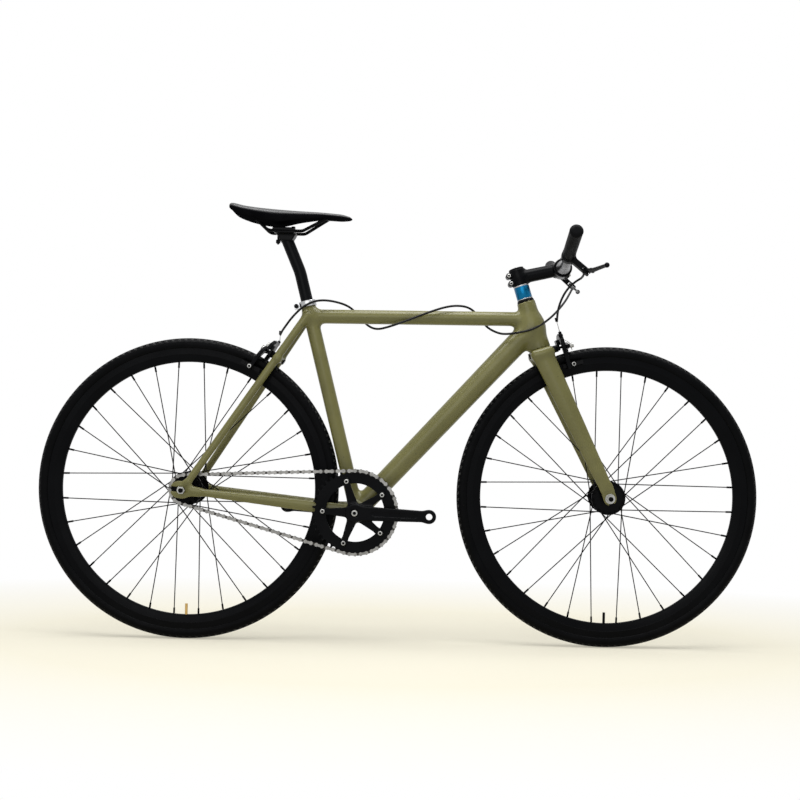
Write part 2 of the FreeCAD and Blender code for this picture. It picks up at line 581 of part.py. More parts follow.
def across_link(radius, half):
    """A pair of cylinders at the two roller centres, reaching half to each side."""
    return [Part.makeCylinder(radius, 2 * half, Vector(place, 0, -half)) for place in (0, s.chain_pitch)]


inner_face = s.roller_length / 2
outer_face = inner_face + s.link_plate_width + s.link_plate_gap
pin_half = outer_face + s.link_plate_width + s.pin_stub
inner_link = link_plate(inner_face).fuse([link_plate(-inner_face - s.link_plate_width)]
                                         + across_link(s.roller_radius, inner_face))
inner_link = inner_link.cut(across_link(s.pin_radius + s.running_clearance, pin_half))
outer_link = link_plate(outer_face).fuse([link_plate(-outer_face - s.link_plate_width)]
                                         + across_link(s.pin_radius, pin_half))


def wrap(centre, radius, direction, half_wrap, teeth, links):
    """Roller centres round one sprocket, from its lower side to its upper side, about a direction."""
    step = 2 * math.pi / teeth
    return [centre + flat_turn(direction, -half_wrap + index * step) * radius for index in range(int(links) + 1)]


def between(start, end, links):
    """Roller centres strictly between two rollers on a straight run."""
    return [start + (end - start) * (index / links) for index in range(1, int(links))]


ring_rollers = wrap(bottom_bracket, ring_pitch_radius, -back, ring_half_wrap, s.ring_teeth, s.ring_wrap_links)
cog_rollers = wrap(rear_axle, cog_pitch_radius, back, cog_half_wrap, s.cog_teeth, s.cog_wrap_links)
rollers = (ring_rollers + between(ring_rollers[-1], cog_rollers[0], s.straight_links)
           + cog_rollers + between(cog_rollers[-1], ring_rollers[0], s.straight_links))
links = []
for index, start in enumerate(rollers):
    end = rollers[(index + 1) % len(rollers)]
    link = (inner_link if index % 2 == 0 else outer_link).copy()
    link.Placement = frame_of(side(start, -1, s.chain_line), -Y_AXIS, end - start)
    links.append(link)
node(made("chain", Part.makeCompound(links)))


# Cranks: a boss, an arm and a pedal eye on each side, and the five-armed spider on the right.
def bar_outline(root_half, tip_half, length):
    corners = [Vector(0, -root_half, 0), Vector(length, -tip_half, 0), Vector(length, tip_half, 0),
               Vector(0, root_half, 0)]
    return Part.Face(Part.makePolygon(corners + corners[:1]))


def crank_blank():
    """A crank along +X with its spindle along Z, from the spider's outer plane up, flaring out to the pedal."""
    root = Part.makeCylinder(s.crank_boss_radius, s.spider_width + s.crank_width, Vector(0, 0, -s.spider_width))
    arm = bar_outline(s.crank_root_width / 2, s.crank_tip_width / 2, s.crank_length).extrude(Z_AXIS * s.crank_width)
    eye = Part.makeCylinder(s.crank_eye_radius, s.crank_width + s.crank_flare, Vector(s.crank_length, 0, 0))
    flare_corners = [Vector(0, 0, s.crank_width), Vector(s.crank_length, 0, s.crank_width),
                     Vector(s.crank_length, 0, s.crank_width + s.crank_flare)]
    flare = Part.Face(Part.makePolygon(flare_corners + flare_corners[:1]))
    flare.translate(Vector(0, -s.crank_tip_width / 2, 0))
    return root.fuse([arm, eye, flare.extrude(Y_AXIS * s.crank_tip_width)])


def crank_cuts():
    """The spindle bore, the bolt recess and the pedal hole."""
    low = -s.spider_width - s.overrun
    tall = s.spider_width + s.crank_width + s.crank_flare + 2 * s.overrun
    bore = Part.makeCylinder(s.spindle_radius, tall, Vector(0, 0, low))
    recess = Part.makeCylinder(s.crank_bolt_radius + s.crank_recess, s.crank_recess + s.overrun,
                               Vector(0, 0, s.crank_width - s.crank_recess))
    pedal = Part.makeCylinder(s.pedal_hole_radius, tall, Vector(s.crank_length, 0, low))
    return [bore, recess, pedal]


def spider():
    """Five tapering arms that carry the chainring."""
    pieces = []
    holes = []
    for angle in ring_bolt_angles:
        arm = bar_outline(s.spider_root_width / 2, s.spider_tip_width / 2, s.bolt_circle_radius)
        arm = arm.extrude(Z_AXIS * s.spider_width)
        tip = Part.makeCylinder(s.spider_tip_radius, s.spider_width, Vector(s.bolt_circle_radius, 0, 0))
        hole = Part.makeCylinder(s.ring_bolt_radius, s.spider_width, Vector(s.bolt_circle_radius, 0, 0))
        for piece, kept in ((arm, pieces), (tip, pieces), (hole, holes)):
            piece.translate(Vector(0, 0, -s.spider_width))
            piece.rotate(NO_VECTOR, Z_AXIS, math.degrees(angle))
            kept.append(piece)
    return pieces, holes


spider_arms, spider_holes = spider()
right_crank = crank_blank().fuse(spider_arms).cut(crank_cuts() + spider_holes)
left_crank = crank_blank().cut(crank_cuts())
node(made("crank_right", right_crank, frame_of(side(bottom_bracket, -1, spider_outer), -Y_AXIS, crank_ahead)))
node(made("crank_left", left_crank, frame_of(side(bottom_bracket, 1, spider_outer), Y_AXIS, -crank_ahead)))

crank_bolts = []
for index, angle in enumerate(ring_bolt_angles):
    spot = bottom_bracket + flat_turn(crank_ahead, angle) * s.bolt_circle_radius
    crank_bolts.append(rod(f"ring_bolt_{index}", side(spot, -1, s.chain_line - s.sprocket_width / 2 - s.ring_bolt_stub),
                           side(spot, -1, spider_outer + s.ring_bolt_stub), "ring_bolt_radius"))
for index, sign in enumerate((-1, 1)):
    crank_bolts.append(rod(f"crank_bolt_{index}", side(bottom_bracket, sign, spindle_end),
                           side(bottom_bracket, sign, spindle_end + s.crank_bolt_height), "crank_bolt_radius"))
node(group("crankset_bolts", *crank_bolts))


# Wheels: rim, tyre, valve, hub and spokes, alike at both ends but for the hub.
RIM_WALL_LINE = "rim_width / 2 - rim_wall"
RIM_BED = "rim_outer_radius - rim_bed_depth"
RIM_TRACK = "rim_outer_radius - rim_track_height"
RIM_NOSE = "rim_outer_radius - rim_depth"
RIM_OUTLINE = [("-rim_width / 2", RIM_TRACK), ("-rim_width / 2", "rim_outer_radius"),
               ("-(" + RIM_WALL_LINE + ")", "rim_outer_radius"), ("-(" + RIM_WALL_LINE + ")", RIM_BED),
               (RIM_WALL_LINE, RIM_BED), (RIM_WALL_LINE, "rim_outer_radius"),
               ("rim_width / 2", "rim_outer_radius"), ("rim_width / 2", RIM_TRACK),
               ("rim_nose_width / 2", RIM_NOSE), ("-rim_nose_width / 2", RIM_NOSE)]
RIM_CAVITY = [("-(" + RIM_WALL_LINE + ")", RIM_TRACK), ("-(" + RIM_WALL_LINE + ")", RIM_BED + " - rim_wall"),
              (RIM_WALL_LINE, RIM_BED + " - rim_wall"), (RIM_WALL_LINE, RIM_TRACK),
              ("rim_nose_width / 2 - rim_wall / 2", RIM_NOSE + " + rim_wall"),
              ("rim_wall / 2 - rim_nose_width / 2", RIM_NOSE + " + rim_wall")]


def spoke(sign, index):
    """One spoke with its bent head through the flange and its nipple at the rim, about an axle along Y."""
    per_side = int(s.spoke_count) // 2
    step = 2 * math.pi / per_side
    lead = 1 if index % 2 == 0 else -1
    hub_angle = index * step + (sign + 1) * step / 4 + step / 4
    rim_angle = hub_angle + lead * s.spoke_crosses * step
    aside = s.flange_width / 2 + s.spoke_radius + s.running_clearance + s.spoke_elbow_rise
    hub_offset = sign * (s.flange_offset + lead * aside)
    start = Vector(s.spoke_circle_radius * math.cos(hub_angle), hub_offset, s.spoke_circle_radius * math.sin(hub_angle))
    seat = s.rim_outer_radius - s.rim_depth - s.seat_clearance
    end = Vector(seat * math.cos(rim_angle), sign * s.rim_hole_offset, seat * math.sin(rim_angle))
    run = (end - start).normalize()
    through = Vector(start.x, sign * (s.flange_offset - lead * (s.flange_width / 2 + s.running_clearance)), start.z)
    cap = through - Y_AXIS * (sign * lead * s.spoke_head_height)
    wire = cylinder(start, end, s.spoke_radius)
    return wire.fuse([cylinder(start, cap, s.spoke_radius), cylinder(through, cap, s.spoke_head_radius),
                      cylinder(end - run * s.nipple_length, end, s.nipple_radius), Part.makeSphere(s.spoke_radius, start)])


def hub(name, centre, half, end_radius, axle_radius):
    """A high-flange hub shell with its spoke holes, and the two bearings inside it."""
    left_face = "flange_offset - flange_width / 2"
    right_face = "flange_offset + flange_width / 2"
    half_outline = [(half, "hub_bore_radius"), (half, end_radius), (right_face, end_radius),
                    (right_face, "flange_radius"), (left_face, "flange_radius"), (left_face, "hub_barrel_radius")]
    mirrored = [(f"-({place})", radius) for place, radius in reversed(half_outline)]
    shell = turned(name + "_shell", axis_place(centre, 1), half_outline + mirrored)
    per_side = int(s.spoke_count) // 2
    step = 2 * math.pi / per_side
    drills = []
    for sign in (-1, 1):
        for index in range(per_side):
            angle = index * step + (sign + 1) * step / 4 + step / 4
            spot = centre + Vector(math.cos(angle), 0, math.sin(angle)) * s.spoke_circle_radius
            drills.append(cylinder(side(spot, sign, s.flange_offset - s.flange_width),
                                   side(spot, sign, s.flange_offset + s.flange_width),
                                   s.spoke_radius + s.running_clearance))
    drill_group = made(name + "_drills", Part.makeCompound(drills))
    bearings = [bored(f"{name}_bearing_{index}", axis_place(centre, sign), f"{half} - hub_bearing_width", half,
                      f"{axle_radius} + running_clearance", "hub_bore_radius")
                for index, sign in enumerate((-1, 1))]
    return group(name, less(name + "_drilled", shell, drill_group), *bearings)


def axle(name, centre, half_hub, spacing, radius, end_width):
    """An axle with a locknut inside each frame end, and a washer and a nut outside it."""
    outside = f"{spacing} / 2 + {end_width}"
    nut_start = outside + " + washer_height"
    nut_end = nut_start + " + axle_nut_height"
    reach = amount(nut_end + " + axle_stub")
    pieces = [rod(name + "_rod", side(centre, -1, reach), side(centre, 1, reach), radius)]
    for index, sign in enumerate((-1, 1)):
        place = axis_place(centre, sign)
        pieces.append(bored(f"{name}_locknut_{index}", place, half_hub + " + seat_clearance", spacing + " / 2",
                            radius, "locknut_radius"))
        pieces.append(bored(f"{name}_washer_{index}", place, outside, nut_start, radius, "washer_radius"))
        hexagon = solid("Prism", f"{name}_hexagon_{index}",
                        frame_of(side(centre, sign, amount(nut_start)), Y_AXIS * sign, X_AXIS),
                        Circumradius="axle_nut_radius", Height="axle_nut_height")
        hexagon.Polygon = 6
        pieces.append(less(f"{name}_nut_{index}", hexagon, pieces[0]))
    return group(name, *pieces)


def wheel(prefix, centre):
    """Rim, tyre, valve and spokes about one axle, the valve lowest and midway between two spokes."""
    rim_body = turned(prefix + "_rim_body", axis_place(centre, 1), RIM_OUTLINE, RIM_CAVITY)
    tyre_circle = "tyre_radius - tyre_width / 2"
    tyre_place = frame_of(centre, Y_AXIS)
    tyre_outer = solid("Torus", prefix + "_tyre_outer", tyre_place, Radius1=tyre_circle, Radius2="tyre_width / 2")
    tyre_inner = solid("Torus", prefix + "_tyre_inner", tyre_place, Radius1=tyre_circle,
                       Radius2="tyre_width / 2 - tyre_wall")
    valve_top = centre - Z_AXIS * (s.tyre_radius - s.tyre_width - s.seat_clearance)
    valve_tip = centre - Z_AXIS * (s.rim_outer_radius - s.rim_depth - s.valve_reach)
    valve_hole = rod(prefix + "_valve_hole", valve_top, valve_tip, "valve_radius + running_clearance")
    node(less(prefix + "_rim", rim_body, valve_hole))
    node(less(prefix + "_tyre", tyre_outer, tyre_inner, rim_body))
    node(rod(prefix + "_valve", valve_top, valve_tip, "valve_radius"))
    per_side = int(s.spoke_count) // 2
    spokes = [spoke(sign, index) for sign in (-1, 1) for index in range(per_side)]
    node(made(prefix + "_spokes", Part.makeCompound(spokes), Placement(centre, Rotation())))


for prefix, centre, end_width in (("front", front_axle, "fork_end_width"), ("rear", rear_axle, "dropout_width")):
    wheel(prefix, centre)
    node(hub(prefix + "_hub", centre, prefix + "_hub_half", prefix + "_hub_end_radius", prefix + "_axle_radius"))
    node(axle(prefix + "_axle", centre, prefix + "_hub_half", prefix + "_spacing", prefix + "_axle_radius", end_width))


# Fork: crown and steerer in one piece, and two straight blades that end in slotted plates.
def on_fork(ahead, across, up):
    """A point of the steering assembly: forward of, beside and above the crown on the steering axis."""
    return crown + steer_ahead * ahead + Y_AXIS * across + steer_up * up


fork_place = frame_of(crown, steer_up, steer_ahead)
stem_foot = (s.headset_gap + s.head_tube_length + s.headset_gap + s.cover_height + 3 * s.thin_spacer_height
             + s.blue_spacer_height)
stem_middle = stem_foot + s.stem_clamp_height / 2
steerer_top = stem_foot + s.stem_clamp_height
crown_half = s.blade_top_offset + s.blade_top_width / 2
crown_block = Part.makeBox(s.crown_depth, 2 * crown_half, s.crown_height,
                           Vector(-s.crown_depth / 2, -crown_half, -s.crown_height))
shoulders = [edge for edge in crown_block.Edges
             if edge.BoundBox.ZMin > -s.crown_height / 2 and edge.BoundBox.YLength < s.crown_height]
crown_block = crown_block.makeFillet(s.crown_shoulder, shoulders)
bolt_level = -s.caliper_bolt_drop
crown_bolt_hole = Part.makeCylinder(s.caliper_bolt_radius, s.crown_depth + 2 * s.overrun,
                                    Vector(-s.crown_depth / 2 - s.overrun, 0, bolt_level), X_AXIS)
steerer = Part.makeCylinder(s.steerer_radius, steerer_top)
race = Part.makeCylinder(s.head_foot_diameter / 2, s.headset_gap / 2)
node(made("fork_crown", crown_block.fuse([steerer, race]).cut(crown_bolt_hole), fork_place))

BLADE_SHARES = (0.0, 0.35, 1.0)
blade_top_up = -s.crown_height
blade_foot_up = -s.fork_length + s.blade_foot_gap
fork_end_offset = s.front_spacing / 2 + s.fork_end_width / 2


def blade(sign):
    """One fork blade, straight and tapering, fused to its slotted end."""
    sections = []
    top = on_fork(0, sign * s.blade_top_offset, blade_top_up)
    foot = on_fork(s.fork_offset, sign * fork_end_offset, blade_foot_up)
    for share in BLADE_SHARES:
        depth = s.blade_top_depth + (s.blade_foot_depth - s.blade_top_depth) * share
        width = s.blade_top_width + (s.blade_foot_width - s.blade_top_width) * share
        sections.append(oval(top + (foot - top) * share, steer_up, Y_AXIS, width, depth))
    loft = Part.makeLoft(sections, True, True)
    inner = side(front_axle, sign, s.front_spacing / 2)
    disc = Part.makeCylinder(s.fork_end_radius, s.fork_end_width, inner, Y_AXIS * sign)
    tang = Part.makeBox(2 * s.fork_end_radius, s.fork_end_width, s.blade_foot_gap)
    tang.Placement = frame_of(front_axle - steer_ahead * s.fork_end_radius
                              + Y_AXIS * (sign * fork_end_offset - s.fork_end_width / 2), steer_up, steer_ahead)
    slot_half = s.front_axle_radius + s.seat_clearance
    slot = Part.makeBox(2 * slot_half, s.fork_end_width, s.fork_end_radius + s.overrun)
    slot.Placement = frame_of(front_axle - steer_ahead * slot_half - steer_up * (s.fork_end_radius + s.overrun)
                              + Y_AXIS * (sign * fork_end_offset - s.fork_end_width / 2), steer_up, steer_ahead)
    eye = Part.makeCylinder(slot_half, s.fork_end_width, inner, Y_AXIS * sign)
    return made("blade_" + ("left" if sign > 0 else "right"), loft.fuse([disc, tang]).cut([slot, eye]))


node(group("fork_blades", blade(-1), blade(1)))

# Headset bearings and cover, and the spacers under the stem.
steer_place = along(crown, steer_up)
lower_start = "headset_gap"
upper_start = "headset_gap + head_tube_length - bearing_height"
cover_start = "2 * headset_gap + head_tube_length"
headset = [bored("lower_bearing", steer_place, lower_start, lower_start + " + bearing_height - seat_clearance",
                 "steerer_radius", "lower_bearing_radius - seat_clearance"),
           bored("upper_bearing", steer_place, upper_start + " + seat_clearance", upper_start + " + bearing_height",
                 "steerer_radius", "upper_bearing_radius - seat_clearance"),
           turned("headset_cover", steer_place,
                  [(cover_start, "steerer_radius"), (cover_start, "cover_radius"),
                   (cover_start + " + cover_height", "spacer_radius"),
                   (cover_start + " + cover_height", "steerer_radius")])]
node(group("headset", *headset))
spacer_start = cover_start + " + cover_height"
blue_start = spacer_start + " + thin_spacer_height"
upper_spacers = blue_start + " + blue_spacer_height"
thin_starts = [spacer_start, upper_spacers, upper_spacers + " + thin_spacer_height"]
node(group("silver_spacers", *[bored(f"thin_spacer_{index}", steer_place, start, start + " + thin_spacer_height",
                                     "steerer_radius", "spacer_radius") for index, start in enumerate(thin_starts)]))
node(bored("blue_spacer", steer_place, blue_start, upper_spacers, "steerer_radius", "spacer_radius"))

# Stem: a steerer clamp, a neck and a bar clamp split by the face plate.
stem_reach = s.stem_length * math.cos(math.radians(s.stem_angle))
bar_level = stem_middle + s.stem_length * math.sin(math.radians(s.stem_angle))
bar_centre = on_fork(stem_reach, 0, bar_level)
steerer_clamp = rod("steerer_clamp", on_fork(0, 0, stem_foot), on_fork(0, 0, steerer_top), "stem_clamp_radius")
stem_neck = taper("stem_neck", on_fork(0, 0, stem_middle), bar_centre, "stem_root_radius", "stem_neck_radius")
clamp_ends = [side(bar_centre, sign, s.bar_clamp_width / 2) for sign in (-1, 1)]
bar_clamp = rod("bar_clamp", *clamp_ends, "bar_clamp_radius")
bar_hole = rod("bar_hole", side(bar_centre, -1, s.bar_clamp_width / 2 + s.overrun),
               side(bar_centre, 1, s.bar_clamp_width / 2 + s.overrun), "bar_centre_radius")
steerer_hole = rod("steerer_hole", on_fork(0, 0, stem_foot - s.overrun), on_fork(0, 0, steerer_top + s.overrun),
                   "steerer_radius")
clamp_front = solid("Box", "clamp_front", fork_place, Length="bar_clamp_radius + overrun",
                    Width="bar_clamp_width + 2 * overrun", Height="2 * (bar_clamp_radius + overrun)")
clamp_front.Placement.Base = on_fork(stem_reach - s.stem_split / 2, -s.bar_clamp_width / 2 - s.overrun,
                                     bar_level - s.bar_clamp_radius - s.overrun)
plate_room = solid("Box", "plate_room", fork_place, Length="bar_clamp_radius + overrun",
                   Width="bar_clamp_width + 2 * overrun", Height="2 * (bar_clamp_radius + overrun)")
plate_room.Placement.Base = on_fork(stem_reach + s.stem_split / 2, -s.bar_clamp_width / 2 - s.overrun,
                                    bar_level - s.bar_clamp_radius - s.overrun)

stem_bolts = []
bolt_high = (s.bar_centre_radius + s.bar_clamp_radius) / 2
for index, (across_sign, up_sign) in enumerate(((-1, -1), (-1, 1), (1, -1), (1, 1))):
    across = across_sign * s.stem_bolt_spread
    up = bar_level + up_sign * bolt_high
    tip = on_fork(stem_reach - s.bar_centre_radius / 2, across, up)
    head = on_fork(stem_reach + s.bar_centre_radius / 2, across, up)
    shank = rod(f"face_shank_{index}", tip, head, "stem_bolt_radius")
    cap = rod(f"face_cap_{index}", head, head + steer_ahead * s.stem_bolt_head_height, "stem_bolt_head_radius")
    stem_bolts.append(fused(f"face_bolt_{index}", shank, cap))
boss_back = -s.stem_clamp_radius - s.stem_bolt_radius
pinch_bosses = []
for index, sign in enumerate((-1, 1)):
    up = stem_middle + sign * s.pinch_bolt_spacing / 2
    ends = [on_fork(boss_back, across * s.stem_bolt_spread, up) for across in (-1, 1)]
    pinch_bosses.append(rod(f"pinch_boss_{index}", *ends, "stem_boss_radius"))
    shank = rod(f"pinch_shank_{index}", *ends, "stem_bolt_radius")
    cap = rod(f"pinch_cap_{index}", ends[0] - Y_AXIS * s.stem_bolt_head_height, ends[0], "stem_bolt_head_radius")
    stem_bolts.append(fused(f"pinch_bolt_{index}", shank, cap))
stem_slit = solid("Box", "stem_slit", fork_place, Length="2 * stem_clamp_radius", Width="stem_split",
                  Height="stem_clamp_height + 2 * overrun")
stem_slit.Placement.Base = on_fork(-s.stem_clamp_radius - 2 * s.stem_boss_radius, -s.stem_split / 2,
                                   stem_foot - s.overrun)
stem_blank = fused("stem_blank", steerer_clamp, stem_neck, bar_clamp, *pinch_bosses)
node(less("stem", stem_blank, bar_hole, steerer_hole, clamp_front, stem_slit, *stem_bolts))
plate_blank = doc.addObject("Part::Common", "plate_blank")
plate_blank.Base = bar_clamp
plate_blank.Tool = plate_room
node(less("stem_face_plate", plate_blank, bar_hole, *stem_bolts))
top_cap = turned("top_cap", along(on_fork(0, 0, steerer_top), steer_up),
                 [("0", "0"), ("0", "top_cap_radius"), ("top_cap_height / 2", "top_cap_radius"),
                  ("top_cap_height", "stem_clamp_radius / 2"), ("top_cap_height", "0")])
node(group("stem_bolts", *stem_bolts, top_cap))

# Handlebar: a thick middle that tapers to the ends, which sweep upwards.
bar_up = math.atan2(s.bar_rise, s.bar_half_width - s.bar_bend_start)


def on_bar(sign, place):
    """A point on the bar's rising end, place being its distance from the middle plane."""
    return bar_centre + Vector(0, sign * place, (place - s.bar_bend_start) * math.tan(bar_up))


def bar_half(sign, radius_trim):
    """One half of the bar as a solid, thinned by radius_trim."""
    thick = s.bar_centre_radius - radius_trim
    thin = s.bar_radius - radius_trim
    middle = cylinder(bar_centre, side(bar_centre, sign, s.bar_bulge_half), thick)
    cone = Part.makeCone(thick, thin, s.bar_taper_end - s.bar_bulge_half, side(bar_centre, sign, s.bar_bulge_half),
                         Y_AXIS * sign)
    swept, _, _ = pipe([side(bar_centre, sign, s.bar_taper_end), side(bar_centre, sign, s.bar_bend_start),
                        on_bar(sign, s.bar_half_width)], thin, s.bar_bend_radius)
    return [middle, cone, swept]


bar_pieces = bar_half(-1, 0) + bar_half(1, 0)
bore_pieces = bar_half(-1, s.bar_wall) + bar_half(1, s.bar_wall)
node(made("handlebar", bar_pieces[0].fuse(bar_pieces[1:]).cut(bore_pieces)))


def outward(sign):
    """The direction of the bar's rising end on one side."""
    return (on_bar(sign, s.bar_half_width) - on_bar(sign, s.bar_bend_start)).normalize()


grips = [turned(f"grip_{index}", along(on_bar(sign, s.bar_half_width), outward(sign)),
                [("seat_clearance - grip_length", "bar_radius"), ("seat_clearance - grip_length", "grip_radius"),
                 ("0", "grip_radius"), ("grip_end", "grip_radius - grip_end"), ("grip_end", "0"),
                 ("seat_clearance", "0"), ("seat_clearance", "bar_radius")])
         for index, sign in enumerate((-1, 1))]
node(group("grips", *grips))

# Brake levers: a bracket clamped beside each grip, and a blade that turns on its pin.
droop = math.radians(s.lever_droop)
reach_down = Vector(math.cos(droop), 0, -math.sin(droop))


def lever_frame(sign):
    """Outward along the bar, down towards the lever, and across both, from the bracket's clamp."""
    out = outward(sign)
    down = (reach_down - out * reach_down.dot(out)).normalize()
    return on_bar(sign, s.lever_place), out, down, out.cross(down)


def on_lever(sign, out, reach):
    centre, outward_way, down, _ = lever_frame(sign)
    return centre + outward_way * out + down * reach


def lever_block(sign, start, end, width, height):
    """A block of a bracket: from start to end towards the lever, width along the bar, height across."""
    centre, out, down, across = lever_frame(sign)
    block = Part.makeBox(height, width, end - start)
    block.Placement = frame_of(centre + down * start - out * (width / 2) - across * (height / 2), down,
                               out.cross(down))
    return block


def bracket(sign):
    centre, out, down, across = lever_frame(sign)
    half = s.lever_clamp_width / 2
    ring = cylinder(centre - out * half, centre + out * half, s.lever_clamp_radius)
    body = lever_block(sign, 0, s.lever_body_end, s.lever_body_width, s.lever_body_height)
    stop = on_lever(sign, -s.lever_body_width / 2, s.lever_pivot_reach)
    barrel = cylinder(stop - out * s.barrel_length, stop + out * s.lever_clamp_width / 4, s.barrel_radius)
    bore = cylinder(centre - out * s.lever_clamp_width, centre + out * s.lever_clamp_width, s.bar_radius)
    slot = lever_block(sign, s.lever_pivot_reach - s.lever_eye_radius - s.lever_slot, s.lever_body_end + s.overrun,
                       s.lever_body_width, s.lever_slot)
    slot.translate(out * s.lever_body_width / 3)
    return ring.fuse([body, barrel]).cut([bore, slot]).fuse(lever_pin(sign))


def lever_pivot(sign):
    return on_lever(sign, s.lever_body_width / 3, s.lever_pivot_reach)


def lever_pin(sign):
    _, _, _, across = lever_frame(sign)
    half = s.lever_body_height / 2 + s.pin_stub
    return cylinder(lever_pivot(sign) - across * half, lever_pivot(sign) + across * half, s.lever_pin_radius)


def lever_blade(sign):
    """The lever from its eye through its elbow to the ball at its tip."""
    _, _, _, across = lever_frame(sign)
    half = across * (s.lever_width / 2)
    pivot = lever_pivot(sign)
    elbow = on_lever(sign, s.lever_elbow_out, s.lever_elbow_reach)
    tip = on_lever(sign, s.lever_tip_out, s.lever_tip_reach)
    pieces = [cylinder(pivot - half, pivot + half, s.lever_eye_radius),
              cylinder(elbow - half, elbow + half, s.lever_blade_width / 2),
              Part.makeSphere(s.lever_ball_radius, tip)]
    for start, end in ((pivot, elbow), (elbow, tip)):
        run = (end - start).normalize()
        wide = across.cross(run) * (s.lever_blade_width / 2)
        corners = [start - wide - half, end - wide - half, end + wide - half, start + wide - half]
        pieces.append(Part.Face(Part.makePolygon(corners + corners[:1])).extrude(half * 2))
    hole = cylinder(pivot - half * 2, pivot + half * 2, s.lever_pin_radius + s.running_clearance)
    return pieces[0].fuse(pieces[1:]).cut(hole)


node(made("brake_lever_brackets", Part.makeCompound([bracket(-1), bracket(1)])))
node(made("brake_lever_right", lever_blade(-1)))
node(made("brake_lever_left", lever_blade(1)))

# Brake calipers: a base on the frame's bolt, a curved arm on a side pin and a straight arm on the bolt.
# Shapes here are in the caliper's own frame: Y is up, Z away from the frame, and the cable is on the -X side,
# which is the bike's right at the front and its left at the rear.
CURVED_ARM_SHARES = [(0.62, 0.14), (0.5, 0.42), (0.1, 0.6), (-0.4, 0.64), (-0.8, 0.54), (-1.0, 0.34), (-1.02, 0.02),
                     (-0.86, -0.5), (-0.8, -1.1), (-0.5, -1.1), (-0.55, -0.5), (-0.68, 0.05), (-0.6, 0.24),
                     (-0.3, 0.34), (0.02, 0.28), (0.2, 0.12)]
STRAIGHT_ARM_SHARES = [(-0.98, 0.02), (-0.96, -0.16), (-0.3, -0.18), (0.1, -0.2), (0.48, -0.5), (0.5, -1.1),
                       (0.66, -1.1), (0.74, -0.4), (0.56, -0.06), (0.16, 0.13), (-0.16, 0.16)]
BARREL_SHARE = 0.4
ANCHOR_SHARE = -0.08
caliper_base = s.caliper_spacer_height + s.caliper_plate_width
curved_level = caliper_base + s.seat_clearance + s.caliper_arm_width / 2
straight_level = curved_level + s.caliper_arm_width + s.seat_clearance
track_radius = s.rim_outer_radius - s.rim_track_height / 2
pad_outer = s.rim_width / 2 + s.pad_gap + s.pad_thickness
side_pin = Vector(s.caliper_side_pivot, s.caliper_side_height, 0)
barrel_foot = Vector(-s.caliper_cable_side, BARREL_SHARE * s.caliper_reach, curved_level)
barrel_head = barrel_foot + Y_AXIS * s.barrel_length


def arm_points(shares):
    return [(f"{across} * caliper_reach", f"{up} * caliper_reach") for across, up in shares]


def raised(place, level):
    """A placement lifted along its own Z."""
    return place.multiply(Placement(Vector(0, 0, level), Rotation()))


def brake_pad(sign, drop, tilt):
    """A pad square to the rim, on a stud that ends in its bolt."""
    pad = Part.makeBox(s.pad_thickness, s.pad_height, s.pad_length,
                       Vector(-s.pad_thickness / 2, -s.pad_height / 2, -s.pad_length / 2))
    pad.rotate(NO_VECTOR, X_AXIS, tilt)
    pad.translate(Vector(sign * (pad_outer - s.pad_thickness / 2), drop, s.caliper_pad_place))
    foot = Vector(sign * pad_outer, drop, s.caliper_pad_place)
    outer = foot + X_AXIS * (sign * s.pad_stud_length)
    stud = cylinder(foot - X_AXIS * (sign * s.pad_thickness / 2), outer, s.pad_stud_radius)
    cap = cylinder(outer, outer + X_AXIS * (sign * s.pad_bolt_height), s.pad_bolt_radius)
    return pad.fuse([stud, cap])


def pad_tab(sign, arm_level, drop):
    """The foot of an arm, which carries the pad's stud out to the pad's place along the rim."""
    width = s.pad_stud_length - 2 * s.running_clearance
    start = arm_level - s.caliper_arm_width / 2
    end = s.caliper_pad_place + s.pad_bolt_radius
    tab = Part.makeBox(width, 2 * s.pad_bolt_radius, end - start)
    tab.translate(Vector(sign * (pad_outer + s.pad_stud_length / 2) - width / 2, drop - s.pad_bolt_radius, start))
    return tab


def stud_hole(sign, drop):
    middle = Vector(sign * pad_outer, drop, s.caliper_pad_place)
    return cylinder(middle, middle + X_AXIS * (sign * s.pad_stud_length), s.pad_stud_radius)


def brake_base(bolt_back):
    """The fixed base: a spacer and a plate on the centre bolt, with the side pin."""
    plate_low = Vector(-s.caliper_cap_radius, -s.caliper_cap_radius, s.caliper_spacer_height)
    base = Part.makeBox(s.caliper_side_pivot + 2 * s.caliper_cap_radius,
                        s.caliper_side_height + 2 * s.caliper_cap_radius, s.caliper_plate_width, plate_low)
    spacer = Part.makeCylinder(s.caliper_spacer_radius, s.caliper_spacer_height)
    bolt_end = Vector(0, 0, straight_level + s.caliper_arm_width / 2 + s.seat_clearance)
    bolt = cylinder(Vector(0, 0, -bolt_back), bolt_end, s.caliper_bolt_radius)
    bolt_cap = Part.makeCylinder(s.caliper_cap_radius, s.caliper_cap_height, bolt_end)
    pin_end = side_pin + Z_AXIS * (curved_level + s.caliper_arm_width / 2 + s.seat_clearance)
    pin = cylinder(side_pin + Z_AXIS * s.caliper_spacer_height, pin_end, s.caliper_pin_radius)
    pin_cap = Part.makeCylinder(s.caliper_cap_radius, s.caliper_cap_height, pin_end)
    nut = Part.makeCylinder(s.caliper_cap_radius, s.caliper_cap_height, Vector(0, 0, -bolt_back), -Z_AXIS)
    return base.fuse([spacer, bolt, bolt_cap, pin, pin_cap, nut])


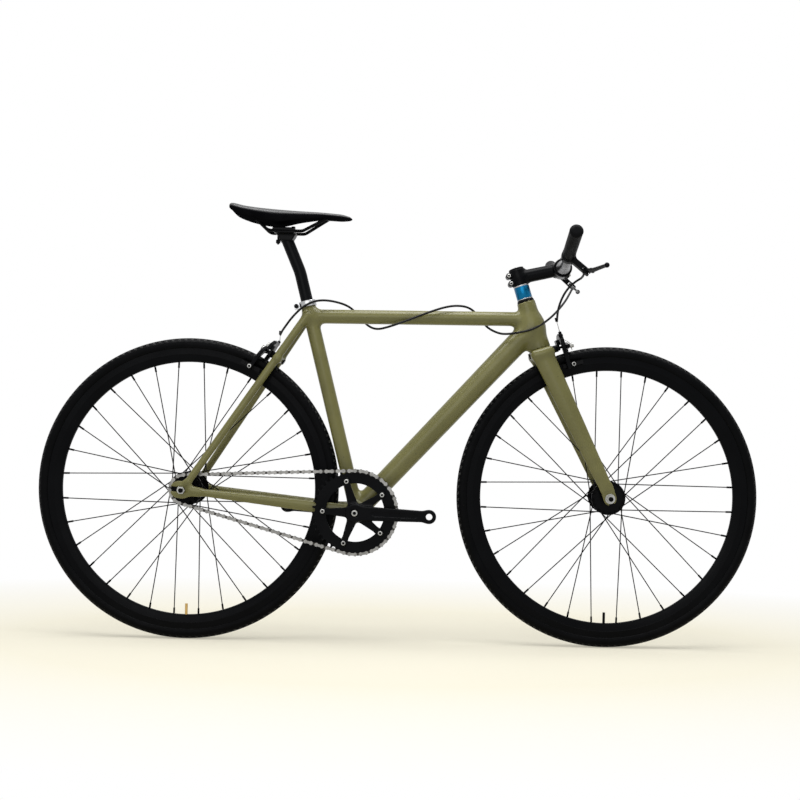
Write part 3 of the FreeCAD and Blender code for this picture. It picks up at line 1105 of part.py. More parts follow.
def brake(prefix, mount, away, up, rim_centre, bolt_back, cable_side, plain_side):
    """The nodes of one brake; mount is its bolt at the frame's face. Returns the barrel and its mouth in place."""
    place = frame_of(mount, away, up.cross(away))
    along_rim = s.caliper_pad_place - (rim_centre - mount).dot(away)
    drop = math.sqrt(track_radius ** 2 - along_rim ** 2) + (rim_centre - mount).dot(up)
    tilt = math.degrees(math.asin(along_rim / track_radius))
    curved = plate(prefix + "_curved_plate", arm_points(CURVED_ARM_SHARES), "caliper_arm_width",
                   raised(place, curved_level),
                   [("caliper_pin_radius + running_clearance", "caliper_side_pivot", "caliper_side_height")])
    straight = plate(prefix + "_straight_plate", arm_points(STRAIGHT_ARM_SHARES), "caliper_arm_width",
                     raised(place, straight_level), [("caliper_bolt_radius + running_clearance",)])
    barrel = cylinder(barrel_foot, barrel_head, s.barrel_radius)
    anchor = Vector(-s.caliper_cable_side, ANCHOR_SHARE * s.caliper_reach, straight_level)
    anchor_end = anchor + Z_AXIS * s.caliper_arm_width
    anchor_bolt = cylinder(anchor, anchor_end, s.pad_stud_radius)
    anchor_cap = cylinder(anchor_end, anchor_end + Z_AXIS * s.pad_bolt_height, s.pad_bolt_radius)
    curved_extra = made(prefix + "_curved_extra",
                        Part.makeCompound([barrel, pad_tab(-1, curved_level, drop)]), place)
    straight_extra = made(prefix + "_straight_extra",
                          Part.makeCompound([anchor_bolt.fuse(anchor_cap), pad_tab(1, straight_level, drop)]), place)
    node(less(prefix + "_caliper_curved_arm", fused(prefix + "_curved_solid", curved, curved_extra),
              made(prefix + "_curved_stud_hole", stud_hole(-1, drop), place)))
    node(less(prefix + "_caliper_straight_arm", fused(prefix + "_straight_solid", straight, straight_extra),
              made(prefix + "_straight_stud_hole", stud_hole(1, drop), place)))
    node(made(f"{prefix}_brake_pad_{cable_side}", brake_pad(-1, drop, tilt), place))
    node(made(f"{prefix}_brake_pad_{plain_side}", brake_pad(1, drop, tilt), place))
    node(made(prefix + "_brake_base", brake_base(bolt_back), place))
    return made(prefix + "_barrel", barrel, place).Shape, place.multVec(barrel_head)


front_barrel, front_stop = brake("front", on_fork(s.crown_depth / 2, 0, bolt_level), steer_ahead, steer_up,
                                 front_axle, s.crown_depth, "right", "left")
rear_barrel, rear_stop = brake("rear", bridge_point + stay_back * s.bridge_radius, stay_back, stay_up,
                               rear_axle, 2 * s.bridge_radius, "left", "right")

# Brake housings, as routes of points chosen by hand from each lever's barrel, with the bare wire to the caliper.
# The rear one passes the head tube on the right and winds round the top tube.
FRONT_HOUSING = [(386, -66, 818), (370, -54, 804), (359, -47, 786), (351, -43, 764), (348, -43, 746), (347, -45, 729)]
LOOP_HOUSING = [(389, 62, 809), (374, 41, 783), (352, 16, 756), (329, -9, 734), (306, -28, 718), (281, -36, 707),
                (257, -32, 703)]
REAR_HOUSING = [(257, -32, 703), (233, -28, 699), (211, -11, 706), (193, 13, 719), (178, 24, 740), (160, 18, 759),
                (138, 3, 765), (106, -12, 762), (64, -23, 747), (18, -24, 728), (-26, -17, 712), (-56, 1, 706),
                (-79, 19, 717), (-98, 24, 739), (-119, 12, 759), (-148, -6, 767), (-176, -18, 769), (-199, -26, 764),
                (-223, -26, 750), (-247, -14, 727), (-263, 8, 710), (-273, 27, 701), (-279, 40, 693)]


def route(points):
    return [Vector(*point) for point in points]


def lever_start(sign):
    """The end of a lever's barrel, where its housing starts, and a point straight out of it."""
    mouth = -s.lever_body_width / 2 - s.barrel_length
    return [on_lever(sign, mouth - lead, s.lever_pivot_reach) for lead in (0, s.housing_lead)]


def bare_wire(points, stop, *others):
    """The wire from the end of a housing to the caliper's barrel."""
    return cylinder(points[-1], stop, s.wire_radius).cut(list(others))


front_housing = cord("front_brake_cable", lever_start(-1) + route(FRONT_HOUSING))
front_wire = bare_wire(route(FRONT_HOUSING), front_stop, front_housing, front_barrel)
node(made("front_brake_cable", Part.makeCompound([front_housing, front_wire])))
node(made("rear_brake_cable_loop", cord("rear_brake_cable_loop", lever_start(1) + route(LOOP_HOUSING))))
rear_housing = cord("rear_brake_cable", route(REAR_HOUSING))
rear_wire = bare_wire(route(REAR_HOUSING), rear_stop, rear_housing, rear_barrel)
node(made("rear_brake_cable", Part.makeCompound([rear_housing, rear_wire])))

# Seat: a post that bends back, its clamp, the rails and the padded saddle.
upper_angle = seat_angle - math.radians(s.seatpost_setback_angle)
post_up = Vector(-math.cos(upper_angle), 0, math.sin(upper_angle))
post_foot = seat_top - seat_up * s.seatpost_insert
post_bend = seat_top + seat_up * s.seatpost_straight
post_head = post_bend + post_up * s.seatpost_upper
post_route = [post_foot, post_bend, post_head]
post_solid, _, _ = pipe(post_route, s.seatpost_diameter / 2, s.seatpost_bend_radius)
post_bore, _, _ = pipe(post_route, s.seatpost_diameter / 2 - s.seatpost_wall, s.seatpost_bend_radius)
saddle_tilt = math.radians(s.saddle_tilt)
saddle_ahead = Vector(math.cos(saddle_tilt), 0, -math.sin(saddle_tilt))
saddle_up = Vector(math.sin(saddle_tilt), 0, math.cos(saddle_tilt))
rail_middle = post_head + saddle_up * s.clamp_lower_height


def on_saddle(ahead, across, up):
    """A point from the rails' middle: along, beside and above the rails."""
    return rail_middle + saddle_ahead * ahead + Y_AXIS * across + saddle_up * up


def saddle_block(length, width, low, high):
    block = Part.makeBox(length, width, high - low)
    block.Placement = frame_of(on_saddle(-length / 2, -width / 2, low), saddle_up, saddle_ahead)
    return block


def rail(sign):
    across = sign * s.rail_spread / 2
    half = s.rail_straight / 2
    points = [on_saddle(-half - s.rail_rear_run, across, s.rail_rear_rise), on_saddle(-half, across, 0),
              on_saddle(half, across, 0), on_saddle(half + s.rail_front_run, across / 2, s.rail_front_rise)]
    return pipe(points, s.rail_radius, s.rail_bend_radius)[0]


# The saddle's sections: share of the length from the tail, then shares of its width and height.
SADDLE_SHARES = [(0.0, 0.6, 0.95, 0.7), (0.05, 0.84, 0.97, 0.45), (0.14, 0.98, 0.82, 0.27), (0.26, 1.0, 0.745, 0.1),
                 (0.4, 0.86, 0.71, 0.0), (0.56, 0.52, 0.7, 0.2), (0.74, 0.33, 0.69, 0.35), (0.92, 0.28, 0.62, 0.3),
                 (1.0, 0.17, 0.48, 0.36)]
SADDLE_EDGE_SHARE = 0.86
SADDLE_BULGE_SHARE = 0.45
SADDLE_SHOULDER_SHARE = 0.8


def saddle_section(length_share, width_share, top_share, low_share):
    """A crowned section: flat under, drawn in at the sides and rounded on top."""
    ahead = (length_share - 0.5) * s.saddle_length - s.saddle_setback + s.saddle_length / 4
    half = width_share * s.saddle_width / 2
    low = s.saddle_rail_gap + low_share * s.saddle_height
    high = s.saddle_rail_gap + top_share * s.saddle_height
    bulge = low + SADDLE_BULGE_SHARE * (high - low)
    shoulder = low + SADDLE_SHOULDER_SHARE * (high - low)

    def spot(across, up):
        return on_saddle(ahead, across, up)

    edge = half * SADDLE_EDGE_SHARE
    bottom = Part.LineSegment(spot(-edge, low), spot(edge, low)).toShape()
    right = Part.Arc(spot(edge, low), spot(half, bulge), spot(edge, shoulder)).toShape()
    top = Part.Arc(spot(edge, shoulder), spot(0, high), spot(-edge, shoulder)).toShape()
    left = Part.Arc(spot(-edge, shoulder), spot(-half, bulge), spot(-edge, low)).toShape()
    return Part.Wire([bottom, right, top, left])


saddle = made("saddle", Part.makeLoft([saddle_section(*shares) for shares in SADDLE_SHARES], True, False))
node(saddle)
rails = [rail(-1), rail(1)]
node(made("saddle_rails", Part.makeCompound([piece.cut(saddle.Shape) for piece in rails])))
lower_cradle = saddle_block(s.clamp_length, s.clamp_width, -s.clamp_lower_height, 0)
upper_cradle = saddle_block(s.clamp_length, s.clamp_width, 0, s.clamp_upper_height)
clamp_bolts = []
for place in (-1, 1):
    spot = place * (s.clamp_length / 2 - s.clamp_bolt_head_radius)
    shank = cylinder(on_saddle(spot, 0, -s.clamp_lower_height - s.clamp_bolt_head_height),
                     on_saddle(spot, 0, s.clamp_upper_height), s.clamp_bolt_radius)
    cap = cylinder(on_saddle(spot, 0, s.clamp_upper_height),
                   on_saddle(spot, 0, s.clamp_upper_height + s.clamp_bolt_head_height / 2), s.clamp_bolt_head_radius)
    clamp_bolts.append(shank.fuse(cap))
cradles = [block.cut(rails + clamp_bolts) for block in (lower_cradle, upper_cradle)]
node(made("seatpost", post_solid.cut([post_bore, lower_cradle] + clamp_bolts)))
node(made("seatpost_clamp", Part.makeCompound(cradles + clamp_bolts)))

doc.recompute()


def check_document():
    """Stop before anything is written if an object failed or a sub-part has no sound shape."""
    for piece in doc.Objects:
        if "Invalid" in piece.State or "Error" in piece.State:
            raise RuntimeError("failed object: " + piece.Label)
    for piece in NODES:
        if piece.Shape.isNull() or not piece.Shape.isValid() or not piece.Shape.Solids:
            raise RuntimeError("unsound shape: " + piece.Label)


check_document()
os.makedirs("parts", exist_ok=True)
for piece in NODES:
    piece.Shape.exportStep(f"parts/{piece.Label}.step")
print(len(NODES), "sub-parts written")
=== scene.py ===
import bpy
import json
import math
import numpy as np
from functools import partial
from itertools import product
from mathutils import Matrix, Vector


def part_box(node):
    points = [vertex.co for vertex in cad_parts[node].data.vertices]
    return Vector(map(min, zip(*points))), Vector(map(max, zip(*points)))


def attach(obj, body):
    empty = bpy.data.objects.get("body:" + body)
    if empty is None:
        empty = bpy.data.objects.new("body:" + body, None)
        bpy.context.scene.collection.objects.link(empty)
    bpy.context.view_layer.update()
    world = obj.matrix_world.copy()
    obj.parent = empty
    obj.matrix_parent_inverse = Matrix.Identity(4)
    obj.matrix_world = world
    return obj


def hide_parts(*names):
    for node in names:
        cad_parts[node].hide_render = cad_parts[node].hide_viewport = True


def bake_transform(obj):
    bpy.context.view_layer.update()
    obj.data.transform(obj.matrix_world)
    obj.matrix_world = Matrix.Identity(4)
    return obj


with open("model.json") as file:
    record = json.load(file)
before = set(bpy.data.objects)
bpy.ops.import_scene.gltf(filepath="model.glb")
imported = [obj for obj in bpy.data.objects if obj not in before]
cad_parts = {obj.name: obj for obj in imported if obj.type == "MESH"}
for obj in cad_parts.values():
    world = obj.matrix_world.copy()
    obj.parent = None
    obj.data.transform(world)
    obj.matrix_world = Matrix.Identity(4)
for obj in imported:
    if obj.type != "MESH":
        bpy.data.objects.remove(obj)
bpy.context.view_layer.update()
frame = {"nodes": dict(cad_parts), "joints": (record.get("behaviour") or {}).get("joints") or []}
nodes = frame["nodes"]
joints = {joint["name"]: joint for joint in frame["joints"]}

# Shapes are worked out in millimetres and written in metres.
MM = 0.001
X_AXIS, Y_AXIS, Z_AXIS = np.eye(3)
SIDES = (("right", -1), ("left", 1))
# A turned outline ends this near its axis, so that its last ring stays open.
NEAR_AXIS = 0.01


def unit(vector):
    vector = np.asarray(vector, float)
    return vector / np.linalg.norm(vector)


def joint_point(name):
    return np.array(joints[name]["pos_m"]) / MM


def joint_axis(name):
    return unit(joints[name]["axis"])


def ahead_of(up):
    """Square to a direction, in the bicycle's middle plane."""
    return np.array([up[2], 0, -up[0]])


def on_side(point, offset):
    return np.array([point[0], offset, point[2]])


# Layout, read from the joints and repeated from the part's own sizes.
SEAT_TUBE_LENGTH = 487.1
TOP_TUBE_DROP = 35.0
HEAD_GAP = 0.6
HEAD_LENGTH = 110.6
BRIDGE_RISE = 356.0
BRIDGE_RADIUS = 7.5
BRIDGE_HALF = 30.0
rear_axle = joint_point("rear_wheel_spin")
front_axle = joint_point("front_wheel_spin")
bottom_bracket = joint_point("crank_spin")
crown = joint_point("steering_turn")
steer_up = joint_axis("steering_turn")
steer_ahead = ahead_of(steer_up)
seat_up = joint_axis("seat_slide")
seat_ahead = ahead_of(seat_up)
seat_top = bottom_bracket + seat_up * SEAT_TUBE_LENGTH
seat_node = seat_top - seat_up * TOP_TUBE_DROP
head_foot = crown + steer_up * HEAD_GAP
head_top = head_foot + steer_up * HEAD_LENGTH
stay_up = unit(seat_node - rear_axle)
stay_back = -ahead_of(stay_up)
chain_back = unit(rear_axle - bottom_bracket)
chain_up = ahead_of(chain_back)
chainstay_length = np.linalg.norm(rear_axle - bottom_bracket)


# Distance fields: each takes points as rows and gives how far each lies outside a shape.
def rows(vector):
    return np.sqrt((vector * vector).sum(-1))


def along_axes(points, centre, *axes):
    """How far points lie from a centre along each of some axes."""
    away = points - centre
    return [away @ axis for axis in axes]


def corner(first, second, rounding):
    """Where two fields overlap, with the edge between them rounded."""
    first = first + rounding
    second = second + rounding
    outside = np.hypot(np.maximum(first, 0), np.maximum(second, 0))
    return np.minimum(np.maximum(first, second), 0) + outside - rounding


def joined(first, second, blend):
    """Two fields in one, with a fillet about as wide as blend."""
    near = np.maximum(blend - abs(first - second), 0) / blend
    return np.minimum(first, second) - near * near * blend / 4


def without(first, second, edge=1.0):
    return -joined(-first, second, edge)


def tube(points, start, end, start_radius, end_radius=None, rounding=None):
    """A round bar from start to end, with domed ends, or with flat ends whose edges are rounded."""
    end_radius = start_radius if end_radius is None else end_radius
    size = np.linalg.norm(end - start)
    axis = (end - start) / size
    away = points - start
    along = away @ axis
    share = np.clip(along / size, 0, 1)
    radius = start_radius + (end_radius - start_radius) * share
    if rounding is None:
        return rows(away - np.outer(share * size, axis)) - radius
    across = rows(away - np.outer(along, axis)) - radius
    return corner(across, abs(along - size / 2) - size / 2, rounding)


def cross_tube(points, middle, half, radius, rounding=None):
    """A round bar that lies across the bicycle, half on each side of its middle."""
    return tube(points, middle - Y_AXIS * half, middle + Y_AXIS * half, radius, rounding=rounding)


def ellipse(across, up, half_across, half_up):
    """Distance from an ellipse, near enough for a surface."""
    inner = np.hypot(across / half_across, up / half_up)
    slope = np.hypot(across / half_across ** 2, up / half_up ** 2) + 1e-9
    return inner * (inner - 1) / slope


def block(points, centre, axes, halves, rounding):
    """A box with rounded edges, its axes given as three unit vectors."""
    local = (points - centre) @ np.array(axes).T
    over = abs(local) - np.array(halves) + rounding
    return np.minimum(over.max(-1), 0) + rows(np.maximum(over, 0)) - rounding


def segment(first, second, start, end):
    """Distance in a plane from a stretch between two points, and the share along it."""
    way = np.subtract(end, start)
    share = np.clip(((first - start[0]) * way[0] + (second - start[1]) * way[1]) / (way @ way), 0, 1)
    return np.hypot(first - start[0] - share * way[0], second - start[1] - share * way[1]), share


def outline_distance(across, up, corners):
    """Distance from a closed outline in a plane."""
    nearest = np.full(across.shape, np.inf)
    crossings = np.zeros(across.shape, int)
    for start, end in zip(corners, corners[1:] + corners[:1]):
        nearest = np.minimum(nearest, segment(across, up, start, end)[0])
        spans = (start[1] > up) != (end[1] > up)
        rise = end[1] - start[1]
        where = start[0] + (up - start[1]) * (end[0] - start[0]) / (rise if rise else 1e-9)
        crossings += spans & (across < where)
    return np.where(crossings % 2 == 1, -nearest, nearest)


def slope_of(field, points, step=0.05):
    """The direction in which a field grows."""
    return np.stack([(field(points + axis * step) - field(points - axis * step)) / (2 * step)
                     for axis in (X_AXIS, Y_AXIS, Z_AXIS)], axis=-1)


def settled(field, points, rounds, reach):
    """Points drawn onto a field's surface."""
    for _ in range(rounds):
        slope = slope_of(field, points)
        step = field(points) / np.maximum((slope * slope).sum(-1), 0.05)
        points = points - slope * np.clip(step, -reach, reach)[:, None]
    return points


def evened(points, quads):
    """Each point moved half of the way to the middle of its neighbours."""
    total = np.zeros_like(points)
    count = np.zeros(len(points))
    for shift in (1, 3):
        beside = np.roll(quads, shift, axis=1)
        for column in range(4):
            np.add.at(total, quads[:, column], points[beside[:, column]])
            np.add.at(count, quads[:, column], 1)
    return (points + total / np.maximum(count, 1)[:, None]) / 2


def surface_of(field, low, high, cell):
    """Vertices and quads of a field's surface inside a box, one vertex to each cell that it crosses."""
    low = np.asarray(low, float)
    counts = np.ceil((np.asarray(high, float) - low) / cell).astype(int) + 1
    axes = [low[i] + cell * np.arange(counts[i]) for i in range(3)]
    grid = np.stack(np.meshgrid(*axes, indexing="ij"), axis=-1)
    inside = field(grid.reshape(-1, 3)).reshape(counts) < 0
    ends = counts - 1
    filled = sum(inside[dx:ends[0] + dx, dy:ends[1] + dy, dz:ends[2] + dz].astype(np.int8)
                 for dx, dy, dz in product((0, 1), repeat=3))
    crossed = (filled > 0) & (filled < 8)
    number = np.full(crossed.shape, -1)
    number[crossed] = np.arange(crossed.sum())
    points = low + (np.argwhere(crossed) + 0.5) * cell
    quads = []
    for axis in range(3):
        first, second = [(1, 2), (2, 0), (0, 1)][axis]
        lower = np.take(inside, range(ends[axis]), axis)
        upper = np.take(inside, range(1, counts[axis]), axis)
        spots = np.argwhere(lower != upper)
        spots = spots[(spots[:, first] > 0) & (spots[:, second] > 0)
                      & (spots[:, first] < ends[first]) & (spots[:, second] < ends[second])]
        step_first, step_second = np.eye(3, dtype=int)[[first, second]]
        cells = [spots, spots - step_first, spots - step_first - step_second, spots - step_second]
        quad = np.stack([number[tuple(spot.T)] for spot in cells], axis=-1)
        outward = lower[tuple(spots.T)]
        quads.append(np.where(outward[:, None], quad, quad[:, ::-1]))
    quads = np.concatenate(quads)
    points = settled(field, points, 2, cell)
    for _ in range(3):
        points = settled(field, evened(points, quads), 2, cell)
    return points, quads


def box_of(place, *ranges):
    """The least and greatest corners round a slanted box, place turning its own distances into points."""
    spots = np.array([place(*spot) for spot in product(*ranges)])
    return spots.min(0), spots.max(0)


def new_piece(name, vertices, faces, body, finish, replaced=(), normals=None):
    """A mesh piece from points in millimetres, riding on a body, in place of some nodes."""
    mesh = bpy.data.meshes.new(name)
    mesh.from_pydata((np.asarray(vertices) * MM).tolist(), [], [list(map(int, face)) for face in faces])
    mesh.validate()
    mesh.polygons.foreach_set("use_smooth", [True] * len(mesh.polygons))
    mesh.materials.append(finish)
    if normals is not None:
        mesh.normals_split_custom_set_from_vertices(normals.tolist())
    piece = bpy.data.objects.new(name, mesh)
    bpy.context.scene.collection.objects.link(piece)
    if body:
        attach(piece, body)
    if replaced:
        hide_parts(*replaced)
    return piece


def sculpted(name, field, box, cell, body, finish, *replaced):
    """A smooth piece made from a distance field."""
    points, quads = surface_of(field, *box, cell)
    slope = slope_of(field, points)
    normals = slope / np.maximum(rows(slope), 1e-6)[:, None]
    return new_piece(name, points, quads, body, finish, replaced, normals)


# Materials: every finish is mixed from noise at its own scale.
def added(tree, kind, inputs=None, **settings):
    """A new node with its settings, each input given a value or another node's output."""
    node = tree.nodes.new("ShaderNode" + kind)
    for name, value in settings.items():
        setattr(node, name, value)
    for name, value in (inputs or {}).items():
        if isinstance(value, bpy.types.NodeSocket):
            tree.links.new(value, node.inputs[name])
        else:
            node.inputs[name].default_value = value
    return node


def worked_out(tree, operation, *values):
    """A sum on some values, each a number or another node's output."""
    return added(tree, "Math", dict(enumerate(values)), operation=operation).outputs["Value"]


def place_on(tree, kind="Object"):
    return added(tree, "TexCoord").outputs[kind]


def parts_of(tree, vector):
    return added(tree, "SeparateXYZ", {"Vector": vector}).outputs


def noise(tree, scale, detail):
    inputs = {"Vector": place_on(tree), "Scale": scale, "Detail": detail}
    return added(tree, "TexNoise", inputs).outputs["Fac"]


def spread(tree, value, low, high, start=0.3, end=0.7):
    """A value in the range start to end, spread over low to high."""
    inputs = {"Value": value, "From Min": start, "From Max": end, "To Min": low, "To Max": high}
    return added(tree, "MapRange", inputs).outputs["Result"]


def mixed(tree, share, first, second):
    """Two colours, or other nodes' outputs, mixed by a share between nought and one."""
    inputs = {"Factor": share, "A": first, "B": second}
    return added(tree, "Mix", inputs, data_type="RGBA").outputs["Result"]


def shaded_over(tree, shader, share, colour):
    """Lay a second colour over a shader's own."""
    under = shader.inputs["Base Color"].links[0].from_socket
    tree.links.new(mixed(tree, share, under, (*colour, 1)), shader.inputs["Base Color"])


def bumped(tree, shader, height, depth):
    bump = added(tree, "Bump", {"Height": height, "Distance": depth, "Strength": 1.0})
    tree.links.new(bump.outputs["Normal"], shader.inputs["Normal"])


def new_material(name):
    material = bpy.data.materials.new(name)
    material.use_nodes = True
    return material


def nodes_of(material):
    tree = material.node_tree
    return tree, tree.nodes["Principled BSDF"]


GLOSS_SCALE_SHARE = 3.1


def finish(name, first, second, rough, metallic=0.0, cloud=14.0, grain=900.0, depth=0.00004,
           coat=0.0, coat_rough=0.2, specular=0.5):
    """A surface whose colour drifts between two tones, with uneven gloss and a fine grain."""
    material = new_material(name)
    tree, shader = nodes_of(material)
    tones = mixed(tree, spread(tree, noise(tree, cloud, 5.0), 0, 1), (*first, 1), (*second, 1))
    tree.links.new(tones, shader.inputs["Base Color"])
    gloss = spread(tree, noise(tree, cloud * GLOSS_SCALE_SHARE, 6.0), *rough)
    tree.links.new(gloss, shader.inputs["Roughness"])
    levels = {"Metallic": metallic, "Coat Weight": coat, "Coat Roughness": coat_rough,
              "Specular IOR Level": specular}
    for level, value in levels.items():
        shader.inputs[level].default_value = value
    bumped(tree, shader, noise(tree, grain, 2.0), depth)
    return material


black_alloy = finish("black_alloy", (0.001, 0.0011, 0.0015), (0.0024, 0.0026, 0.0032), (0.2, 0.32),
                     grain=2200, specular=0.052)
rim_black = finish("rim_black", (0.0007, 0.0008, 0.0012), (0.0016, 0.0018, 0.0023), (0.26, 0.4),
                   grain=1800, specular=0.045)
black_steel = finish("black_steel", (0.0008, 0.0008, 0.001), (0.002, 0.002, 0.0023), (0.34, 0.48),
                     specular=0.035)
bright_steel = finish("bright_steel", (0.26, 0.26, 0.25), (0.42, 0.42, 0.4), (0.24, 0.42), 1.0, cloud=40)
silver_alloy = finish("silver_alloy", (0.36, 0.365, 0.37), (0.48, 0.485, 0.49), (0.22, 0.34), 1.0, cloud=30)
bar_alloy = finish("bar_alloy", (0.17, 0.17, 0.175), (0.22, 0.22, 0.225), (0.3, 0.4), 1.0, cloud=30)
blue_alloy = finish("blue_alloy", (0.002, 0.09, 0.2), (0.004, 0.13, 0.27), (0.2, 0.3), 0.8, cloud=60,
                    specular=0.2)
valve_brass = finish("valve_brass", (0.52, 0.34, 0.12), (0.62, 0.42, 0.16), (0.28, 0.4), 1.0, cloud=80)
housing = finish("housing_black", (0.0016, 0.0016, 0.0018), (0.0032, 0.0032, 0.0036), (0.26, 0.38),
                 cloud=60, specular=0.14)
pad_rubber = finish("pad_rubber", (0.003, 0.003, 0.0034), (0.006, 0.006, 0.0065), (0.7, 0.85), cloud=60,
                    specular=0.1)
grip_rubber = finish("grip_rubber", (0.001, 0.0011, 0.0014), (0.0024, 0.0025, 0.003), (0.45, 0.6), cloud=50,
                     specular=0.05)


def worn_paint(name):
    """Olive paint with small dark specks and a faint streaky dirt."""
    material = finish(name, (0.098, 0.092, 0.027), (0.118, 0.111, 0.035), (0.34, 0.46), cloud=9, grain=1400,
                      depth=0.00002, coat=0.24, coat_rough=0.17, specular=0.2)
    tree, shader = nodes_of(material)
    dirt = spread(tree, noise(tree, 34.0, 8.0), 0, 0.3, 0.5, 0.75)
    specks = spread(tree, noise(tree, 210.0, 3.0), 0, 0.75, 0.69, 0.75)
    shaded_over(tree, shader, dirt, (0.07, 0.064, 0.02))
    shaded_over(tree, shader, specks, (0.035, 0.032, 0.012))
    return material


OUTER_PLATE_SHARES = (0.62, 0.86)


def linked_steel(name):
    """Chain steel, bright on the outermost plates, with painted shade on the recessed inner plates and
    rollers between them.
    """
    material = finish(name, (0.2, 0.196, 0.186), (0.34, 0.335, 0.32), (0.26, 0.42), 1.0, cloud=70)
    tree, shader = nodes_of(material)
    low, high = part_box("chain")
    start, end = ((high.y - low.y) / 2 * share for share in OUTER_PLATE_SHARES)
    across = worked_out(tree, "SUBTRACT", parts_of(tree, place_on(tree))["Y"], (low.y + high.y) / 2)
    depth = spread(tree, worked_out(tree, "ABSOLUTE", across), 1, 0, start, end)
    # Painted shade: the colour darkens towards the chain's middle, where the inner plates and rollers lie
    # recessed.
    shaded_over(tree, shader, depth, (0.055, 0.052, 0.047))
    return material


# The tread: blocks and grooves on each shoulder, with places given as shares of the tyre's outline.
TREAD_BLOCKS = 144
GROOVE_SHARE = 0.36
SHOULDER_SHARE = 0.125
SHOULDER_HALF_SHARE = 0.055
CREST_SHARE = 0.13
CREST_STRIPES = 576.0
CREST_SLANT = 16.0
WALL_RINGS = 60.0
RING_HEIGHT_SHARE = 0.12


def rubber_with_tread(name):
    """Tyre rubber: a fine herringbone on the crown, lighter grey grooves between the shoulder blocks, and
    walls with faint moulding rings.
    """
    material = finish(name, (0.0006, 0.0007, 0.0009), (0.0015, 0.0016, 0.002), (0.36, 0.52), cloud=30,
                      specular=0.04)
    tree, shader = nodes_of(material)
    parts = parts_of(tree, place_on(tree, "UV"))

    def by(operation, *values):
        return worked_out(tree, operation, *values)

    fold = by("ABSOLUTE", by("SUBTRACT", parts["Y"], 0.5))
    slant = by("ADD", by("MULTIPLY", parts["X"], CREST_STRIPES), by("MULTIPLY", fold, CREST_SLANT))
    stripes = by("MULTIPLY", by("PINGPONG", slant, 0.5), by("LESS_THAN", fold, CREST_SHARE))
    rings = by("PINGPONG", by("MULTIPLY", fold, WALL_RINGS), 0.5)
    bumped(tree, shader, by("ADD", stripes, by("MULTIPLY", rings, RING_HEIGHT_SHARE)), 0.0007)
    groove = by("LESS_THAN", by("FRACT", by("MULTIPLY", parts["X"], TREAD_BLOCKS)), GROOVE_SHARE)
    shoulder = by("COMPARE", fold, SHOULDER_SHARE, SHOULDER_HALF_SHARE)
    # The grooves between the shoulder blocks are coloured a lighter grey than the rubber.
    shaded_over(tree, shader, by("MULTIPLY", groove, shoulder), (0.03, 0.03, 0.029))
    return material


def grained_cover(name):
    """The saddle's cover: a soft sheen on what faces upward, over a fine leather-like grain of cells."""
    material = finish(name, (0.002, 0.002, 0.0025), (0.004, 0.004, 0.0048), (0.28, 0.4), cloud=30)
    tree, shader = nodes_of(material)
    upward = parts_of(tree, added(tree, "NewGeometry").outputs["Normal"])["Z"]
    tree.links.new(spread(tree, upward, 0.0, 0.42, 0.05, 0.7), shader.inputs["Specular IOR Level"])
    cells = added(tree, "TexVoronoi", {"Vector": place_on(tree), "Scale": 750.0}, feature="DISTANCE_TO_EDGE")
    bumped(tree, shader, spread(tree, cells.outputs["Distance"], 0, 1, 0.0, 0.25), 0.0001)
    return material


olive = worn_paint("olive_paint")
chain_steel = linked_steel("chain_steel")
tyre_rubber = rubber_with_tread("tyre_rubber")
saddle_cover = grained_cover("saddle_cover")

FRAME_NODES = ("top_tube", "down_tube", "head_tube", "seat_tube", "bottom_bracket_shell", "chainstays",
               "seatstays", "dropouts")
PAD_NODES = [f"{prefix}_brake_pad_{side}" for prefix in ("front", "rear") for side in ("left", "right")]
NODE_FINISHES = {
    olive: (*FRAME_NODES, "fork_crown", "fork_blades"),
    rim_black: ("front_rim", "rear_rim"),
    tyre_rubber: ("front_tyre", "rear_tyre"),
    black_steel: ("front_spokes", "rear_spokes", "saddle_rails", "rear_cog"),
    chain_steel: ("chain",),
    bright_steel: ("bb_spindle", "front_axle", "rear_axle", "crankset_bolts", "stem_bolts"),
    silver_alloy: ("seat_collar", "silver_spacers"),
    bar_alloy: ("handlebar",),
    blue_alloy: ("blue_spacer",),
    valve_brass: ("rear_valve",),
    housing: ("front_brake_cable", "rear_brake_cable", "rear_brake_cable_loop"),
    pad_rubber: PAD_NODES,
    grip_rubber: ("grips",),
    saddle_cover: ("saddle",),
}
node_finish = {name: material for material, names in NODE_FINISHES.items() for name in names}
for name, node in nodes.items():
    node.data.materials.clear()
    node.data.materials.append(node_finish.get(name, black_alloy))


# The frame: all its tubes in one smooth skin, with a filleted weld at every joint.
HEAD_RADII = (25.0, 20.5)
TOP_RADIUS = 15.9
TOP_FALL = 40.3
DOWN_RADII = (22.0, 25.5)
DOWN_FALL = 57.0
SEAT_RADIUS = 15.8
SHELL_HALF = 34.0
SHELL_RADIUS = 20.5
CHAINSTAY_SHARES = (0.0, 0.31, 0.62, 1.0)
CHAINSTAY_OFFSETS = (25.0, 29.5, 44.0, 63.5)
CHAINSTAY_EASING_SHARES = (0, 0.08, -0.08)
CHAINSTAY_STOP = 31.0
CHAINSTAY_HALF = 7.0
CHAINSTAY_HEIGHTS = (15.0, 7.8)
SEATSTAY_SETBACK = 8.0
SEATSTAY_RADII = (8.0, 9.0)
SEATSTAY_HEAD_SIDE = 15.5
SEATSTAY_FOOT_RISE = 24.0
DROPOUT_SIDE = 63.5
DROPOUT_HALF = 3.5
DROPOUT_LENGTH = 8.0
DROPOUT_RADIUS = 19.0
EAR_LENGTH = 34.0
EAR_RADII = (12.0, 8.0)
SLOT_LENGTH = 60.0
SLOT_RADIUS = 5.4
SLOT_SIDE = 50.0
# What a field says where a slot is too far off to cut.
OUTSIDE = 9.0


